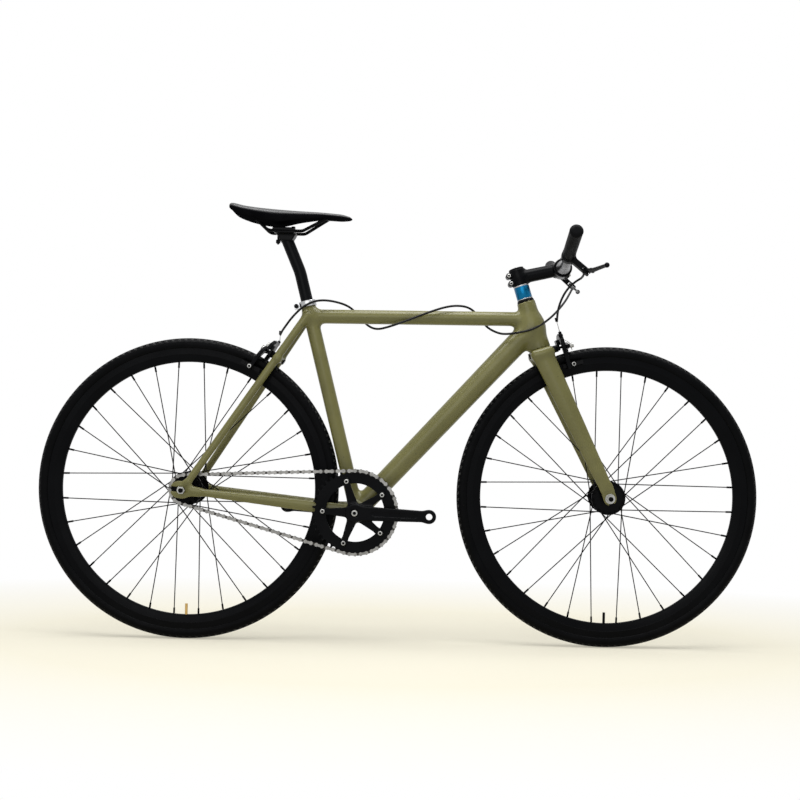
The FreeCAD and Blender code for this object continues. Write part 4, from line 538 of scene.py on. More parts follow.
def frame_field(points):
    head = tube(points, head_foot, head_top, *HEAD_RADII, 1.0)
    top = tube(points, seat_node, head_top - steer_up * TOP_FALL, TOP_RADIUS)
    down = tube(points, bottom_bracket, head_top - steer_up * DOWN_FALL, *DOWN_RADII)
    seat = tube(points, bottom_bracket, seat_top, SEAT_RADIUS, rounding=0.5)
    shell = cross_tube(points, on_side(bottom_bracket, 0), SHELL_HALF, SHELL_RADIUS, 1.0)
    main = joined(joined(joined(head, top, 12.0), down, 16.0), joined(seat, shell, 12.0), 14.0)
    side = abs(points[:, 1])
    apart = np.column_stack([points[:, 0], side, points[:, 2]])
    stay_head = on_side(seat_node - seat_ahead * SEATSTAY_SETBACK, SEATSTAY_HEAD_SIDE)
    stay_foot = on_side(rear_axle + stay_up * SEATSTAY_FOOT_RISE, DROPOUT_SIDE)
    stay = tube(apart, stay_foot, stay_head, *SEATSTAY_RADII)
    bridge = cross_tube(points, on_side(rear_axle + stay_up * BRIDGE_RISE, 0), BRIDGE_HALF, BRIDGE_RADIUS)
    along, up = along_axes(points, bottom_bracket, chain_back, chain_up)
    share = along / (chainstay_length - CHAINSTAY_STOP)
    offset = sum(np.interp(share + step, CHAINSTAY_SHARES, CHAINSTAY_OFFSETS)
                 for step in CHAINSTAY_EASING_SHARES) / len(CHAINSTAY_EASING_SHARES)
    low_stay = ellipse(side - offset, up, CHAINSTAY_HALF, np.interp(share, (0, 1), CHAINSTAY_HEIGHTS))
    half = chainstay_length / 2
    low_stay = corner(low_stay, abs(along - half) - half + CHAINSTAY_STOP / 2, 4.0)
    flat = apart * (1, 0, 1)
    thickness = abs(side - DROPOUT_SIDE) - DROPOUT_HALF
    plate = tube(flat, rear_axle, rear_axle + chain_back * DROPOUT_LENGTH, DROPOUT_RADIUS)
    ear = tube(flat, rear_axle, rear_axle - chain_back * EAR_LENGTH, *EAR_RADII)
    dropout = joined(corner(plate, thickness, 1.2), corner(ear, thickness, 1.2), 8.0)
    rear = joined(joined(joined(stay, bridge, 7.0), low_stay, 6.0), dropout, 11.0)
    slot = tube(flat, rear_axle, rear_axle + chain_back * SLOT_LENGTH, SLOT_RADIUS)
    return joined(main, without(rear, np.where(side > SLOT_SIDE, slot, OUTSIDE)), 11.0)


# Each skin is looked for inside a box, with a little room round the form.
frame_box = (np.array([rear_axle[0] - 34, -76, bottom_bracket[2] - 28]),
             np.array([crown[0] + 34, 76, head_top[2] + 12]))
sculpted("frame_skin", frame_field, frame_box, 3.2, "frame", olive, *FRAME_NODES)


# The fork: crown and blades in one smooth form, with slotted ends round the axle.
BLADE_TOP = -19.0
BLADE_FOOT = -347.0
BLADE_SIDES = (36.0, 53.5)
BLADE_DEPTHS = (24.0, 14.5)
BLADE_WIDTH_SHARES = (0, 0.85, 1)
BLADE_WIDTHS = (12.0, 7.75, 3.9)
FORK_OFFSET = 48.8
TAB_RISE = 26.0
TAB_RADIUS = 14.5
FORK_SLOT = 4.8
FORK_SLOT_TOP = -363.0
FORK_SLOT_SIDE = 46.0
BLADE_LAP = 10.0
CROWN_HALVES = (25.0, 48.0, 9.5)
RACE_ENDS = (-12.0, 0.2)
RACE_RADIUS = 25.0
crown_axes = (steer_ahead, Y_AXIS, steer_up)


def on_fork(ahead, across, up):
    return crown + steer_ahead * ahead + Y_AXIS * across + steer_up * up


def fork_field(points):
    ahead, up = along_axes(points, crown, steer_ahead, steer_up)
    side = abs(points[:, 1])
    share = (up - BLADE_TOP) / (BLADE_FOOT - BLADE_TOP)
    blade = ellipse(ahead - np.clip(share, 0, 1) * FORK_OFFSET,
                    side - np.interp(share, (0, 1), BLADE_SIDES),
                    np.interp(share, (0, 1), BLADE_DEPTHS),
                    np.interp(share, BLADE_WIDTH_SHARES, BLADE_WIDTHS))
    blade = corner(blade, abs(up - (BLADE_FOOT - BLADE_LAP) / 2) + (BLADE_FOOT + BLADE_LAP) / 2, 4.0)
    bridge = block(points, on_fork(0, 0, -CROWN_HALVES[2]), crown_axes, CROWN_HALVES, 8.0)
    race_foot, race_top = (on_fork(0, 0, up_there) for up_there in RACE_ENDS)
    race = tube(points, race_foot, race_top, RACE_RADIUS, rounding=0.6)
    tab = corner(tube(points * (1, 0, 1), front_axle, front_axle + steer_up * TAB_RISE, TAB_RADIUS),
                 abs(side - BLADE_SIDES[1]) - DROPOUT_HALF, 1.2)
    whole = joined(joined(joined(bridge, blade, 12.0), race, 5.0), tab, 2.0)
    slot = np.hypot(ahead - FORK_OFFSET, np.maximum(up - FORK_SLOT_TOP, 0)) - FORK_SLOT
    return without(whole, np.where(side > FORK_SLOT_SIDE, slot, OUTSIDE))


fork_box = (np.array([crown[0] - 32, -60, on_fork(0, 0, -380)[2]]),
            np.array([front_axle[0] + 20, 60, crown[2] + 12]))
sculpted("fork_skin", fork_field, fork_box, 2.6, "steering", olive, "fork_blades", "fork_crown")

# The cranks: a flat tapering arm with rounded edges, and a five-armed spider on the drive side.
CRANK_ANGLE = math.radians(-1.6)
crank_ahead = np.array([math.cos(CRANK_ANGLE), 0, math.sin(CRANK_ANGLE)])
crank_up = np.array([-math.sin(CRANK_ANGLE), 0, math.cos(CRANK_ANGLE)])
CRANK_LENGTH = 165.0
CRANK_INNER = 49.45
CRANK_WIDTH = 12.0
CRANK_FLARE = 4.0
CRANK_RADII = (16.5, 12.0)
CRANK_HUB = 19.0
CRANK_EYE = 14.6
PEDAL_BORE = 7.14
BOSS_ENDS = (40.0, 55.0)
BOSS_RADIUS = 17.5
RECESS_RADIUS = 9.5
RECESS_DEPTH = 3.0
GROOVE_MIDDLE = 88.0
GROOVE_HALF = 42.0
GROOVE_RADIUS = 9.0
GROOVE_HEIGHT_SHARE = 0.55
GROOVE_DEPTH = 1.0
BOLT_CIRCLE = 72.0
SPIDER_MIDDLE = 46.45
SPIDER_HALF = 3.0
SPIDER_SHARES = (0, 0.8, 1)
SPIDER_RADII = (13.0, 7.0, 8.5)
SPIDER_TURNS = [(index + 0.5) * 2 * math.pi / 5 for index in range(5)]


def crank_field(sign, spider_turns):
    """The field of one crank: sign is 1 for the arm that points ahead on the right side."""
    def field(points):
        along, up = along_axes(points, bottom_bracket, crank_ahead, crank_up)
        along = sign * along
        out = -sign * points[:, 1]
        share = np.clip(along / CRANK_LENGTH, 0, 1)
        flat = np.hypot(along - share * CRANK_LENGTH, up) - np.interp(share, (0, 1), CRANK_RADII)
        flat = joined(flat, np.hypot(along, up) - CRANK_HUB, 8.0)
        flat = joined(flat, np.hypot(along - CRANK_LENGTH, up) - CRANK_EYE, 8.0)
        face = CRANK_INNER + CRANK_WIDTH + CRANK_FLARE * share ** 2
        arm = corner(flat, abs(out - face + CRANK_WIDTH / 2) - CRANK_WIDTH / 2, 2.6)
        past_groove = np.maximum(abs(along - GROOVE_MIDDLE) - GROOVE_HALF, 0)
        groove = np.hypot(up / GROOVE_HEIGHT_SHARE, past_groove) - GROOVE_RADIUS
        arm = without(arm, corner(groove, face - GROOVE_DEPTH - out, 0.4), 1.6)
        boss_ends = [bottom_bracket - Y_AXIS * sign * reach for reach in BOSS_ENDS]
        arm = joined(arm, tube(points, *boss_ends, BOSS_RADIUS, rounding=1), 3.0)
        for turn in spider_turns:
            reach = along * math.cos(turn) + up * math.sin(turn)
            beside = up * math.cos(turn) - along * math.sin(turn)
            part = np.clip(reach / BOLT_CIRCLE, 0, 1)
            leg = np.hypot(reach - part * BOLT_CIRCLE, beside) - np.interp(part, SPIDER_SHARES, SPIDER_RADII)
            arm = joined(arm, corner(leg, abs(out - SPIDER_MIDDLE) - SPIDER_HALF, 1.2), 7.0)
        eye = np.hypot(along - CRANK_LENGTH, up) - PEDAL_BORE
        recess = corner(np.hypot(along, up) - RECESS_RADIUS, face - RECESS_DEPTH - out, 0.3)
        return without(without(arm, eye), recess)
    return field


for side, sign, turns, low, high in (("right", 1, SPIDER_TURNS, (-86, -70, -86), (184, -38, 86)),
                                     ("left", -1, (), (-184, 38, -26), (24, 70, 30))):
    hub = on_side(bottom_bracket, 0)
    sculpted(f"crank_{side}_skin", crank_field(sign, turns), (hub + low, hub + high), 1.6, "crankset",
             black_alloy, f"crank_{side}")

# The stem: steerer clamp, neck and bar clamp with fillets, and the face plate in front of the bar.
STEM_FOOT = 150.6
STEM_GAP = 0.1
STEM_TOP = 186.6
STEM_ANGLE = math.radians(-5.0)
STEM_LENGTH = 100.0
STEM_RADIUS = 18.5
BAR_RADIUS = 15.9
BAR_CLAMP_RADIUS = 21.0
BAR_CLAMP_HALF = 22.0
PINCH_LEVELS = (-9.0, 9.0)
PINCH_BACK = -21.0
PINCH_HALF = 14.0
PINCH_RADIUS = 6.5
NECK_RADII = (15.0, 14.5)
NECK_FALL = 3.0
NECK_HALF = 21.0
SLIT_BACK = 30.0
SLIT_HALVES = (25.0, 0.9, 40.0)
BORE_HALF = 40.0
WINDOW_AHEAD = 20.0
WINDOW_HALVES = (12.0, 8.0, 9.0)
FACE_EAR_FOOT = 1.2
FACE_EAR_LENGTH = 8.0
FACE_EAR_RADIUS = 5.2
STEM_FRONT = 0.2
FACE_BACK = 1.0
FACE_BOLTS = list(product((-14, 14), (-18.5, 18.5)))
stem_middle = on_fork(0, 0, (STEM_FOOT + STEM_TOP) / 2)
stem_way = steer_ahead * math.cos(STEM_ANGLE) + steer_up * math.sin(STEM_ANGLE)
bar_centre = stem_middle + stem_way * STEM_LENGTH
pinch_spots = [stem_middle + steer_ahead * PINCH_BACK + steer_up * level for level in PINCH_LEVELS]


def bar_clamp(points):
    """The clamp round the bar, and the bore that the bar fills."""
    return (cross_tube(points, bar_centre, BAR_CLAMP_HALF, BAR_CLAMP_RADIUS, 1.4),
            cross_tube(points, bar_centre, BORE_HALF, BAR_RADIUS))


def stem_field(points):
    clamp_foot = on_fork(0, 0, STEM_FOOT + STEM_GAP)
    clamp = tube(points, clamp_foot, on_fork(0, 0, STEM_TOP), STEM_RADIUS, rounding=1.2)
    neck = tube(points, stem_middle, bar_centre, *NECK_RADII)
    neck = np.maximum(neck, abs((points - stem_middle) @ steer_up + NECK_FALL) - NECK_HALF)
    collar, bore = bar_clamp(points)
    whole = joined(joined(clamp, neck, 7.0), collar, 7.0)
    for spot in pinch_spots:
        whole = joined(whole, cross_tube(points, spot, PINCH_HALF, PINCH_RADIUS, 1.0), 3.0)
    slit = block(points, stem_middle - steer_ahead * SLIT_BACK, crown_axes, SLIT_HALVES, 0.1)
    front = (bar_centre + steer_ahead * STEM_FRONT - points) @ steer_ahead
    return without(without(without(whole, bore, 0.6), slit, 0.4), front, 0.4)


def face_plate_field(points):
    plate, bore = bar_clamp(points)
    for across, up in FACE_BOLTS:
        foot = bar_centre + Y_AXIS * across + steer_up * up + steer_ahead * FACE_EAR_FOOT
        ear = tube(points, foot, foot + steer_ahead * FACE_EAR_LENGTH, FACE_EAR_RADIUS, rounding=0.8)
        plate = joined(plate, ear, 3.0)
    window = block(points, bar_centre + steer_ahead * WINDOW_AHEAD, crown_axes, WINDOW_HALVES, 4.0)
    behind = (points - bar_centre - steer_ahead * FACE_BACK) @ steer_ahead
    return without(without(without(plate, bore, 0.6), behind, 0.4), window, 1.2)


stem_box = (np.array([crown[0] - 90, -26, bar_centre[2] - 48]),
            np.array([bar_centre[0] + 28, 26, bar_centre[2] + 32]))
sculpted("stem_skin", stem_field, stem_box, 1.4, "steering", black_alloy, "stem")
sculpted("face_plate_skin", face_plate_field, (bar_centre - (10, 26, 28), bar_centre + (30, 26, 28)), 1.2,
         "steering", black_alloy, "stem_face_plate")


# Turned pieces and pipes: rings of points in a row, with faces between them.
def side_ways(axis):
    """An axis and two unit vectors square to it."""
    axis = unit(axis)
    across = unit(np.cross(axis, Y_AXIS if abs(axis[1]) < 0.9 else X_AXIS))
    return axis, across, np.cross(axis, across)


def turns_of(count):
    return np.arange(count) * 2 * math.pi / count


def ring(centre, across, beside, radii):
    """Points round a centre, one to each radius."""
    turns = turns_of(len(radii))
    ways = np.outer(np.cos(turns), across) + np.outer(np.sin(turns), beside)
    return centre + ways * np.asarray(radii)[:, None]


def ring_faces(steps, count):
    """Quads between rings of count points, for a number of steps from ring to ring."""
    return [(row * count + i, row * count + (i + 1) % count, (row + 1) * count + (i + 1) % count,
             (row + 1) * count + i) for row in range(steps) for i in range(count)]


QUAD_SPOTS = ((0, 0), (1, 0), (1, 1), (0, 1))


def lathe(name, profile, centre, axis, body, finish, count=48, sharp=35.0, replaced=()):
    """An outline turned about an axis: each row gives a place along the axis and a radius."""
    axis, across, beside = side_ways(axis)
    points = [ring(centre + axis * place, across, beside, [radius] * count) for place, radius in profile]
    steps = len(profile) - 1
    piece = new_piece(name, np.concatenate(points), ring_faces(steps, count), body, finish, replaced)
    layer = [share for row in range(steps) for i in range(count) for right, up in QUAD_SPOTS
             for share in ((i + right) / count, (row + up) / steps)]
    around = piece.data.uv_layers.new(name="around")
    if len(layer) == 2 * len(piece.data.loops):
        around.data.foreach_set("uv", layer)
    piece.data.set_sharp_from_angle(angle=math.radians(sharp))
    return piece


# A bolt's cap and its hexagon socket: shares of the height, then of the radius or of the hexagon.
HEX_ROUND = 36
CAP_SHARES = ((0, 1), (0.72, 1), (0.93, 0.93), (1, 0.8))
SOCKET_SHARES = ((1, 1.06), (0.9, 1), (0.4, 1))
SOCKET_FLOOR_SHARE = 0.3
HEX_SHARE = 0.5
SIXTH_TURN = math.pi / 3


def socket_bolt(name, base, axis, radius, height, body, finish, replaced=()):
    """A bolt's domed cap with a hexagon socket sunk in it, the socket's faces black as painted shade."""
    axis, across, beside = side_ways(axis)
    flat = np.ones(HEX_ROUND)
    turns = (turns_of(HEX_ROUND) + SIXTH_TURN / 2) % SIXTH_TURN - SIXTH_TURN / 2
    hexagon = radius * HEX_SHARE / np.cos(turns)
    rings = [(place, flat * radius * share) for place, share in CAP_SHARES]
    rings += [(place, hexagon * share) for place, share in SOCKET_SHARES]
    rings += [(SOCKET_FLOOR_SHARE, flat * NEAR_AXIS)]
    points = [ring(base + axis * height * place, across, beside, radii) for place, radii in rings]
    faces = ring_faces(len(rings) - 1, HEX_ROUND)
    piece = new_piece(name, np.concatenate(points), faces, body, finish, replaced)
    # Painted shade: the socket's faces take black steel, dark as the shade inside the hollow.
    piece.data.materials.append(black_steel)
    for polygon in list(piece.data.polygons)[(len(CAP_SHARES) + 1) * HEX_ROUND:]:
        polygon.material_index = 1
    piece.data.set_sharp_from_angle(angle=math.radians(32))


# How far a bolt's cap is sunk into what it holds.
BOLT_SINK = 0.6
FACE_BOLT_AHEAD = 8.4
TOP_CAP = [(0, 17.0), (2.6, 17.0), (3.6, 16.4), (4.6, 14.0), (5.0, 11.0), (5.0, 5.4)]
lathe("stem_top_cap", TOP_CAP, on_fork(0, 0, STEM_TOP), steer_up, "steering", black_alloy,
      replaced=["stem_bolts"])
socket_bolt("stem_cap_bolt", on_fork(0, 0, STEM_TOP + 2.6), steer_up, 5.4, 3.6, "steering", bright_steel)
for index, spot in enumerate(pinch_spots):
    socket_bolt(f"stem_pinch_bolt_{index}", spot - Y_AXIS * (PINCH_HALF - BOLT_SINK), -Y_AXIS, 4.2, 5.2,
                "steering", bright_steel)
for index, (across, up) in enumerate(FACE_BOLTS):
    spot = bar_centre + Y_AXIS * across + steer_up * up + steer_ahead * FACE_BOLT_AHEAD
    socket_bolt(f"stem_face_bolt_{index}", spot, steer_ahead, 4.0, 4.4, "steering", bright_steel)

# Wheels: a tyre with a file tread and a deep rim, turned about each axle.
TYRE_MIDDLE = 325.0
TYRE_HALF = 14.0
TYRE_EDGE = math.radians(38)
TYRE_STEPS = 57
BEAD_HALF = 9.4
BEAD_DEPTH = 1.0
RIM_OUTER = 317.0
# The rim's outline on one side: half its width there, and how far inside the outer radius.
RIM_EDGE = [(8.2, 2), (8.4, 0), (9.3, -0.3), (10.0, 0.6), (10.0, 14.6), (9.4, 15.4), (8.8, 18), (7.4, 24),
            (5.9, 28.6), (4.4, 31), (2.3, 31.8)]
RIM_DEPTH = 32.0
TREAD_STEPS = 5
TREAD_DEPTH = 1.3
TREAD_INNER = 4.5
TREAD_OUTER = 12.2
TREAD_SLANT = 16.0


def tyre_profile():
    """From bead to bead over the tread."""
    outer = [(TYRE_HALF * math.cos(angle), TYRE_MIDDLE + TYRE_HALF * math.sin(angle))
             for angle in np.linspace(-TYRE_EDGE, math.pi + TYRE_EDGE, TYRE_STEPS)]
    bead = RIM_OUTER - BEAD_DEPTH
    return [(BEAD_HALF, bead), *outer, (-BEAD_HALF, bead)]


def rim_profile():
    """Hooked edges, flat braking tracks and sides that draw in to a rounded nose."""
    half = RIM_EDGE + [(0, RIM_DEPTH)] + [(-across, depth) for across, depth in reversed(RIM_EDGE)]
    return [(across, RIM_OUTER - depth) for across, depth in half]


def cut_tread(tyre, axle):
    """Sink a groove between the blocks on each shoulder of a tyre."""
    for vertex in tyre.data.vertices:
        place = np.array(vertex.co) / MM - axle
        side = abs(place[1])
        radius = math.hypot(place[0], place[2])
        if radius > TYRE_MIDDLE and TREAD_INNER < side < TREAD_OUTER:
            turn = math.atan2(place[2], place[0]) / (2 * math.pi) * TREAD_BLOCKS
            stagger = 0.5 if place[1] > 0 else 0
            if (turn + stagger + side / TREAD_SLANT) % 1 < GROOVE_SHARE:
                inward = place * (1, 0, 1) / radius * TREAD_DEPTH
                vertex.co = (place + axle - inward) * MM


for prefix, axle in (("front", front_axle), ("rear", rear_axle)):
    wheel = prefix + "_wheel"
    tyre = lathe(prefix + "_tyre_tread", tyre_profile(), axle, Y_AXIS, wheel, tyre_rubber,
                 TREAD_BLOCKS * TREAD_STEPS, 50, [prefix + "_tyre"])
    cut_tread(tyre, axle)
    lathe(prefix + "_rim_skin", rim_profile(), axle, Y_AXIS, wheel, rim_black, 240, 22, [prefix + "_rim"])

# Axle ends: a dark cap in the middle of each bright nut, painted shade standing for the dark hole in the
# axle's end.
AXLE_HOLE_SHADE = [(-2.6, 5.2), (-0.2, 5.2), (0.3, 4.5), (0.4, NEAR_AXIS)]
for prefix, axle, body in (("front", front_axle, "steering"), ("rear", rear_axle, "frame")):
    axle_low, axle_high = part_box(prefix + "_axle")
    for (side, sign), reach in zip(SIDES, (-axle_low.y / MM, axle_high.y / MM)):
        lathe(f"{prefix}_axle_hole_shade_{side}", AXLE_HOLE_SHADE, axle + Y_AXIS * sign * reach, Y_AXIS * sign, body,
              black_steel, 32)

# The seat collar's bolt has a black head.
COLLAR_BOLT = [(0, 5.0), (5.2, 5.0), (6.0, 4.4), (6.0, 2.4), (5.3, 2.1), (5.2, NEAR_AXIS)]
collar_spot = seat_top - seat_up * 6.5 - seat_ahead * 25.2 - Y_AXIS * 7
lathe("seat_collar_bolt", COLLAR_BOLT, collar_spot, -Y_AXIS, "frame", black_alloy, 36)

# Brake housings: the part's own routes, as smooth lines, with ferrules at their ends and bare wire beyond.
BAR_HALF = 260.0
BAR_BEND = 76.0
BAR_RISE = 42.0
LEVER_DROOP = math.radians(42.0)
LEVER_MOUTH = 21.5
HOUSING_LEAD = 22.0
HOUSING_RADIUS = 2.5
WIRE_RADIUS = 0.8
WIRE_ROUND = 10
FERRULE = [(-9, 2.55), (-9, 3.1), (-1, 3.1), (-0.2, 2.7), (0, 1.6), (0, 0.9)]
FRONT_ROUTE = [(386, -66, 818), (370, -54, 804), (359, -47, 786), (351, -43, 764), (348, -43, 746),
               (347, -45, 729)]
LOOP_ROUTE = [(389, 62, 809), (374, 41, 783), (352, 16, 756), (329, -9, 734), (306, -28, 718),
              (281, -36, 707), (257, -32, 703)]
REAR_ROUTE = [(257, -32, 703), (233, -28, 699), (211, -11, 706), (193, 13, 719), (178, 24, 740),
              (160, 18, 759), (138, 3, 765), (106, -12, 762), (64, -23, 747), (18, -24, 728),
              (-26, -17, 712), (-56, 1, 706), (-79, 19, 717), (-98, 24, 739), (-119, 12, 759),
              (-148, -6, 767), (-176, -18, 769), (-199, -26, 764), (-223, -26, 750), (-247, -14, 727),
              (-263, 8, 710), (-273, 27, 701), (-279, 40, 693)]


def lever_frame(side):
    """The pin of a brake lever, outward along the bar, down towards the blade, and across both."""
    rise = math.atan2(BAR_RISE, BAR_HALF - BAR_BEND)
    out = np.array([0, dict(SIDES)[side] * math.cos(rise), math.sin(rise)])
    down = np.array([math.cos(LEVER_DROOP), 0, -math.sin(LEVER_DROOP)])
    down = unit(down - out * (down @ out))
    return joint_point(f"lever_{side}_pull"), out, down, np.cross(out, down)


def lever_start(side):
    pin, out, _, _ = lever_frame(side)
    return [pin - out * LEVER_MOUTH, pin - out * (LEVER_MOUTH + HOUSING_LEAD)]


def line_points(name, route):
    """Points in millimetres of a smooth curve that runs along a route's points."""
    data = bpy.data.curves.new(name + "_line", "CURVE")
    data.dimensions = "3D"
    data.resolution_u = 10
    spline = data.splines.new("NURBS")
    spline.points.add(len(route) - 1)
    for spot, place in zip(spline.points, route):
        spot.co = (*(np.asarray(place) * MM), 1)
    spline.order_u = 3
    spline.use_endpoint_u = True
    holder = bpy.data.objects.new(name + "_line", data)
    mesh = bpy.data.meshes.new_from_object(holder)
    points = np.array([vertex.co for vertex in mesh.vertices]) / MM
    bpy.data.meshes.remove(mesh)
    bpy.data.curves.remove(data)
    return points


def pipe_along(name, points, radius, body, finish, count=14, replaced=()):
    """A tube along points, with its rings carried round without twist."""
    ways = np.gradient(points, axis=0)
    ways /= rows(ways)[:, None]
    across = side_ways(ways[0])[1]
    rings = []
    for point, way in zip(points, ways):
        across = unit(across - way * (across @ way))
        rings.append(ring(point, across, np.cross(way, across), [radius] * count))
    last = (len(points) - 1) * count
    faces = ring_faces(len(points) - 1, count)
    faces += [list(range(count))[::-1], list(range(last, last + count))]
    return new_piece(name, np.concatenate(rings), faces, body, finish, replaced)


CALIPER_LEVEL = -9.0


def caliper_frame(prefix):
    """A caliper's bolt at the face that carries it, with its sideways, upward and outward directions."""
    if prefix == "front":
        return on_fork(CROWN_HALVES[0], 0, CALIPER_LEVEL), Y_AXIS, steer_up, steer_ahead
    return rear_axle + stay_up * BRIDGE_RISE + stay_back * BRIDGE_RADIUS, -Y_AXIS, stay_up, stay_back


CABLE_SIDE = -42.0
BARREL_FOOT = 18.8
BARREL_LENGTH = 14.0
CURVED_LEVEL = 23.8
STRAIGHT_LEVEL = 33.1


def on_caliper(prefix, across, up, out):
    mount, across_way, up_way, out_way = caliper_frame(prefix)
    return mount + across_way * across + up_way * up + out_way * out


front_route = lever_start("right") + FRONT_ROUTE
for prefix, route, body in (("front", front_route, "steering"), ("rear", REAR_ROUTE, "frame")):
    points = line_points(prefix + "_housing", route)
    end = points[-1]
    pipe_along(prefix + "_housing", points, HOUSING_RADIUS, body, housing,
               replaced=[prefix + "_brake_cable"])
    stop = on_caliper(prefix, CABLE_SIDE, BARREL_FOOT + BARREL_LENGTH, CURVED_LEVEL)
    lathe(prefix + "_housing_ferrule", FERRULE, end, stop - end, body, black_steel, 24)
    pipe_along(prefix + "_brake_wire", np.array([end, (end + stop) / 2, stop]), WIRE_RADIUS, body,
               bright_steel, WIRE_ROUND)
loop_points = line_points("rear_housing_loop", lever_start("left") + LOOP_ROUTE)
loop = pipe_along("rear_housing_loop", loop_points, HOUSING_RADIUS, None, housing,
                  replaced=["rear_brake_cable_loop"])
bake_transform(loop)

# Brake levers: a bracket clamped to the bar, with its barrel, and a drooping blade that ends in a ball.
LEVER_PIN_REACH = 48.0
LEVER_ELBOW = (26.0, 62.0)
LEVER_TIP = (104.0, 88.0)
LEVER_BALL = 5.5
LEVER_SHARES = (0, 0.3, 1)
LEVER_HALVES = (5.2, 4.4, 3.6)
LEVER_ROOT_HALF = 5.6
LEVER_EYE = 6.0
LEVER_THICKNESS_HALF = 2.5
BRACKET_CLAMP_RADIUS = 15.5
BRACKET_CLAMP_HALF = 7.0
BRACKET_BORE = 11.2
BRACKET_SPLIT_HALF = 0.6
HOOD_HALVES = (7.5, 27.0, 6.5)
HOOD_MIDDLE = 33.0
HOOD_SLOT_HALF = 2.7
HOOD_SLOT_START = 39.0
BARREL_RADIUS = 3.6
LEVER_BARREL_PLACE = -14.0
LEVER_BARREL_HALF = 7.5
LEVER_KNURL_RADIUS = 4.6
LEVER_KNURL_PLACE = -12.0
LEVER_KNURL_HALF = 2.4
PIN_RADIUS = 3.4
PIN_HALF = 7.2


def lever_places(side, points):
    pin, out, down, across = lever_frame(side)
    return along_axes(points, pin - down * LEVER_PIN_REACH, out, down, across)


def lever_blade_field(side):
    def field(points):
        out, reach, across = lever_places(side, points)
        root, _ = segment(out, reach, (0.0, LEVER_PIN_REACH), LEVER_ELBOW)
        blade, share = segment(out, reach, LEVER_ELBOW, LEVER_TIP)
        flat = joined(root - LEVER_ROOT_HALF, blade - np.interp(share, LEVER_SHARES, LEVER_HALVES), 5.0)
        flat = joined(flat, np.hypot(out, reach - LEVER_PIN_REACH) - LEVER_EYE, 2.0)
        ball = np.sqrt((out - LEVER_TIP[0]) ** 2 + (reach - LEVER_TIP[1]) ** 2 + across ** 2) - LEVER_BALL
        return joined(corner(flat, abs(across) - LEVER_THICKNESS_HALF, 1.6), ball, 2.0)
    return field


def lever_bracket_field(side):
    def field(points):
        out, reach, across = lever_places(side, points)
        thickness = abs(across)
        from_bar = np.hypot(reach, across)
        from_cable = np.hypot(reach - LEVER_PIN_REACH, across)
        clamp = corner(from_bar - BRACKET_CLAMP_RADIUS, abs(out) - BRACKET_CLAMP_HALF, 1.2)
        half_out, half_reach, half_across = HOOD_HALVES
        hood = corner(abs(out) - half_out, thickness - half_across, 2.6)
        hood = corner(hood, abs(reach - HOOD_MIDDLE) - half_reach, 4.0)
        barrel = corner(from_cable - BARREL_RADIUS, abs(out - LEVER_BARREL_PLACE) - LEVER_BARREL_HALF, 0.7)
        knurl = corner(from_cable - LEVER_KNURL_RADIUS, abs(out - LEVER_KNURL_PLACE) - LEVER_KNURL_HALF, 0.5)
        pin = corner(np.hypot(reach - LEVER_PIN_REACH, out) - PIN_RADIUS, thickness - PIN_HALF, 0.5)
        whole = joined(joined(joined(clamp, hood, 6.0), joined(barrel, knurl, 0.6), 1.2), pin, 0.6)
        slot = np.maximum(thickness - HOOD_SLOT_HALF, HOOD_SLOT_START - reach)
        split = np.maximum(thickness - BRACKET_SPLIT_HALF, reach)
        return without(without(without(whole, slot, 0.6), from_bar - BRACKET_BORE, 0.4), split, 0.3)
    return field


def on_lever(side, along, below, beside):
    pin, out, down, across = lever_frame(side)
    return pin + out * along + down * below + across * beside


for side, replaced in (("right", ["brake_lever_brackets"]), ("left", [])):
    place = partial(on_lever, side)
    blade_box = box_of(place, (-28, 112), (-66, 52), (-18, 18))
    sculpted(f"lever_{side}_blade", lever_blade_field(side), blade_box, 1.3, f"lever_{side}", black_alloy,
             f"brake_lever_{side}")
    bracket_box = box_of(place, (-24, 10), (-66, 15), (-18, 18))
    sculpted(f"lever_{side}_bracket", lever_bracket_field(side), bracket_box, 1.1, "steering", black_alloy,
             *replaced)
    socket_bolt(f"lever_{side}_clamp_bolt", place(0, -LEVER_PIN_REACH - 15.6, 3.4), lever_frame(side)[3],
                2.6, 3.4, "steering", bright_steel)

# Calipers: rounded arms, with bright bolts, a knurled barrel and the pads' own bolts.
CALIPER_REACH = 47.0
ARM_HALF = 4.5
CURVED_ARM_SHARES = [(0.62, 0.14), (0.5, 0.42), (0.1, 0.6), (-0.4, 0.64), (-0.8, 0.54), (-1.0, 0.34),
                     (-1.02, 0.02), (-0.86, -0.5), (-0.8, -1.1), (-0.5, -1.1), (-0.55, -0.5), (-0.68, 0.05),
                     (-0.6, 0.24), (-0.3, 0.34), (0.02, 0.28), (0.2, 0.12)]
STRAIGHT_ARM_SHARES = [(-0.98, 0.02), (-0.96, -0.16), (-0.3, -0.18), (0.1, -0.2), (0.48, -0.5), (0.5, -1.1),
                       (0.66, -1.1), (0.74, -0.4), (0.56, -0.06), (0.16, 0.13), (-0.16, 0.16)]
ANCHOR_SHARE = -0.08
ANCHOR_LEVEL = STRAIGHT_LEVEL + 4.0
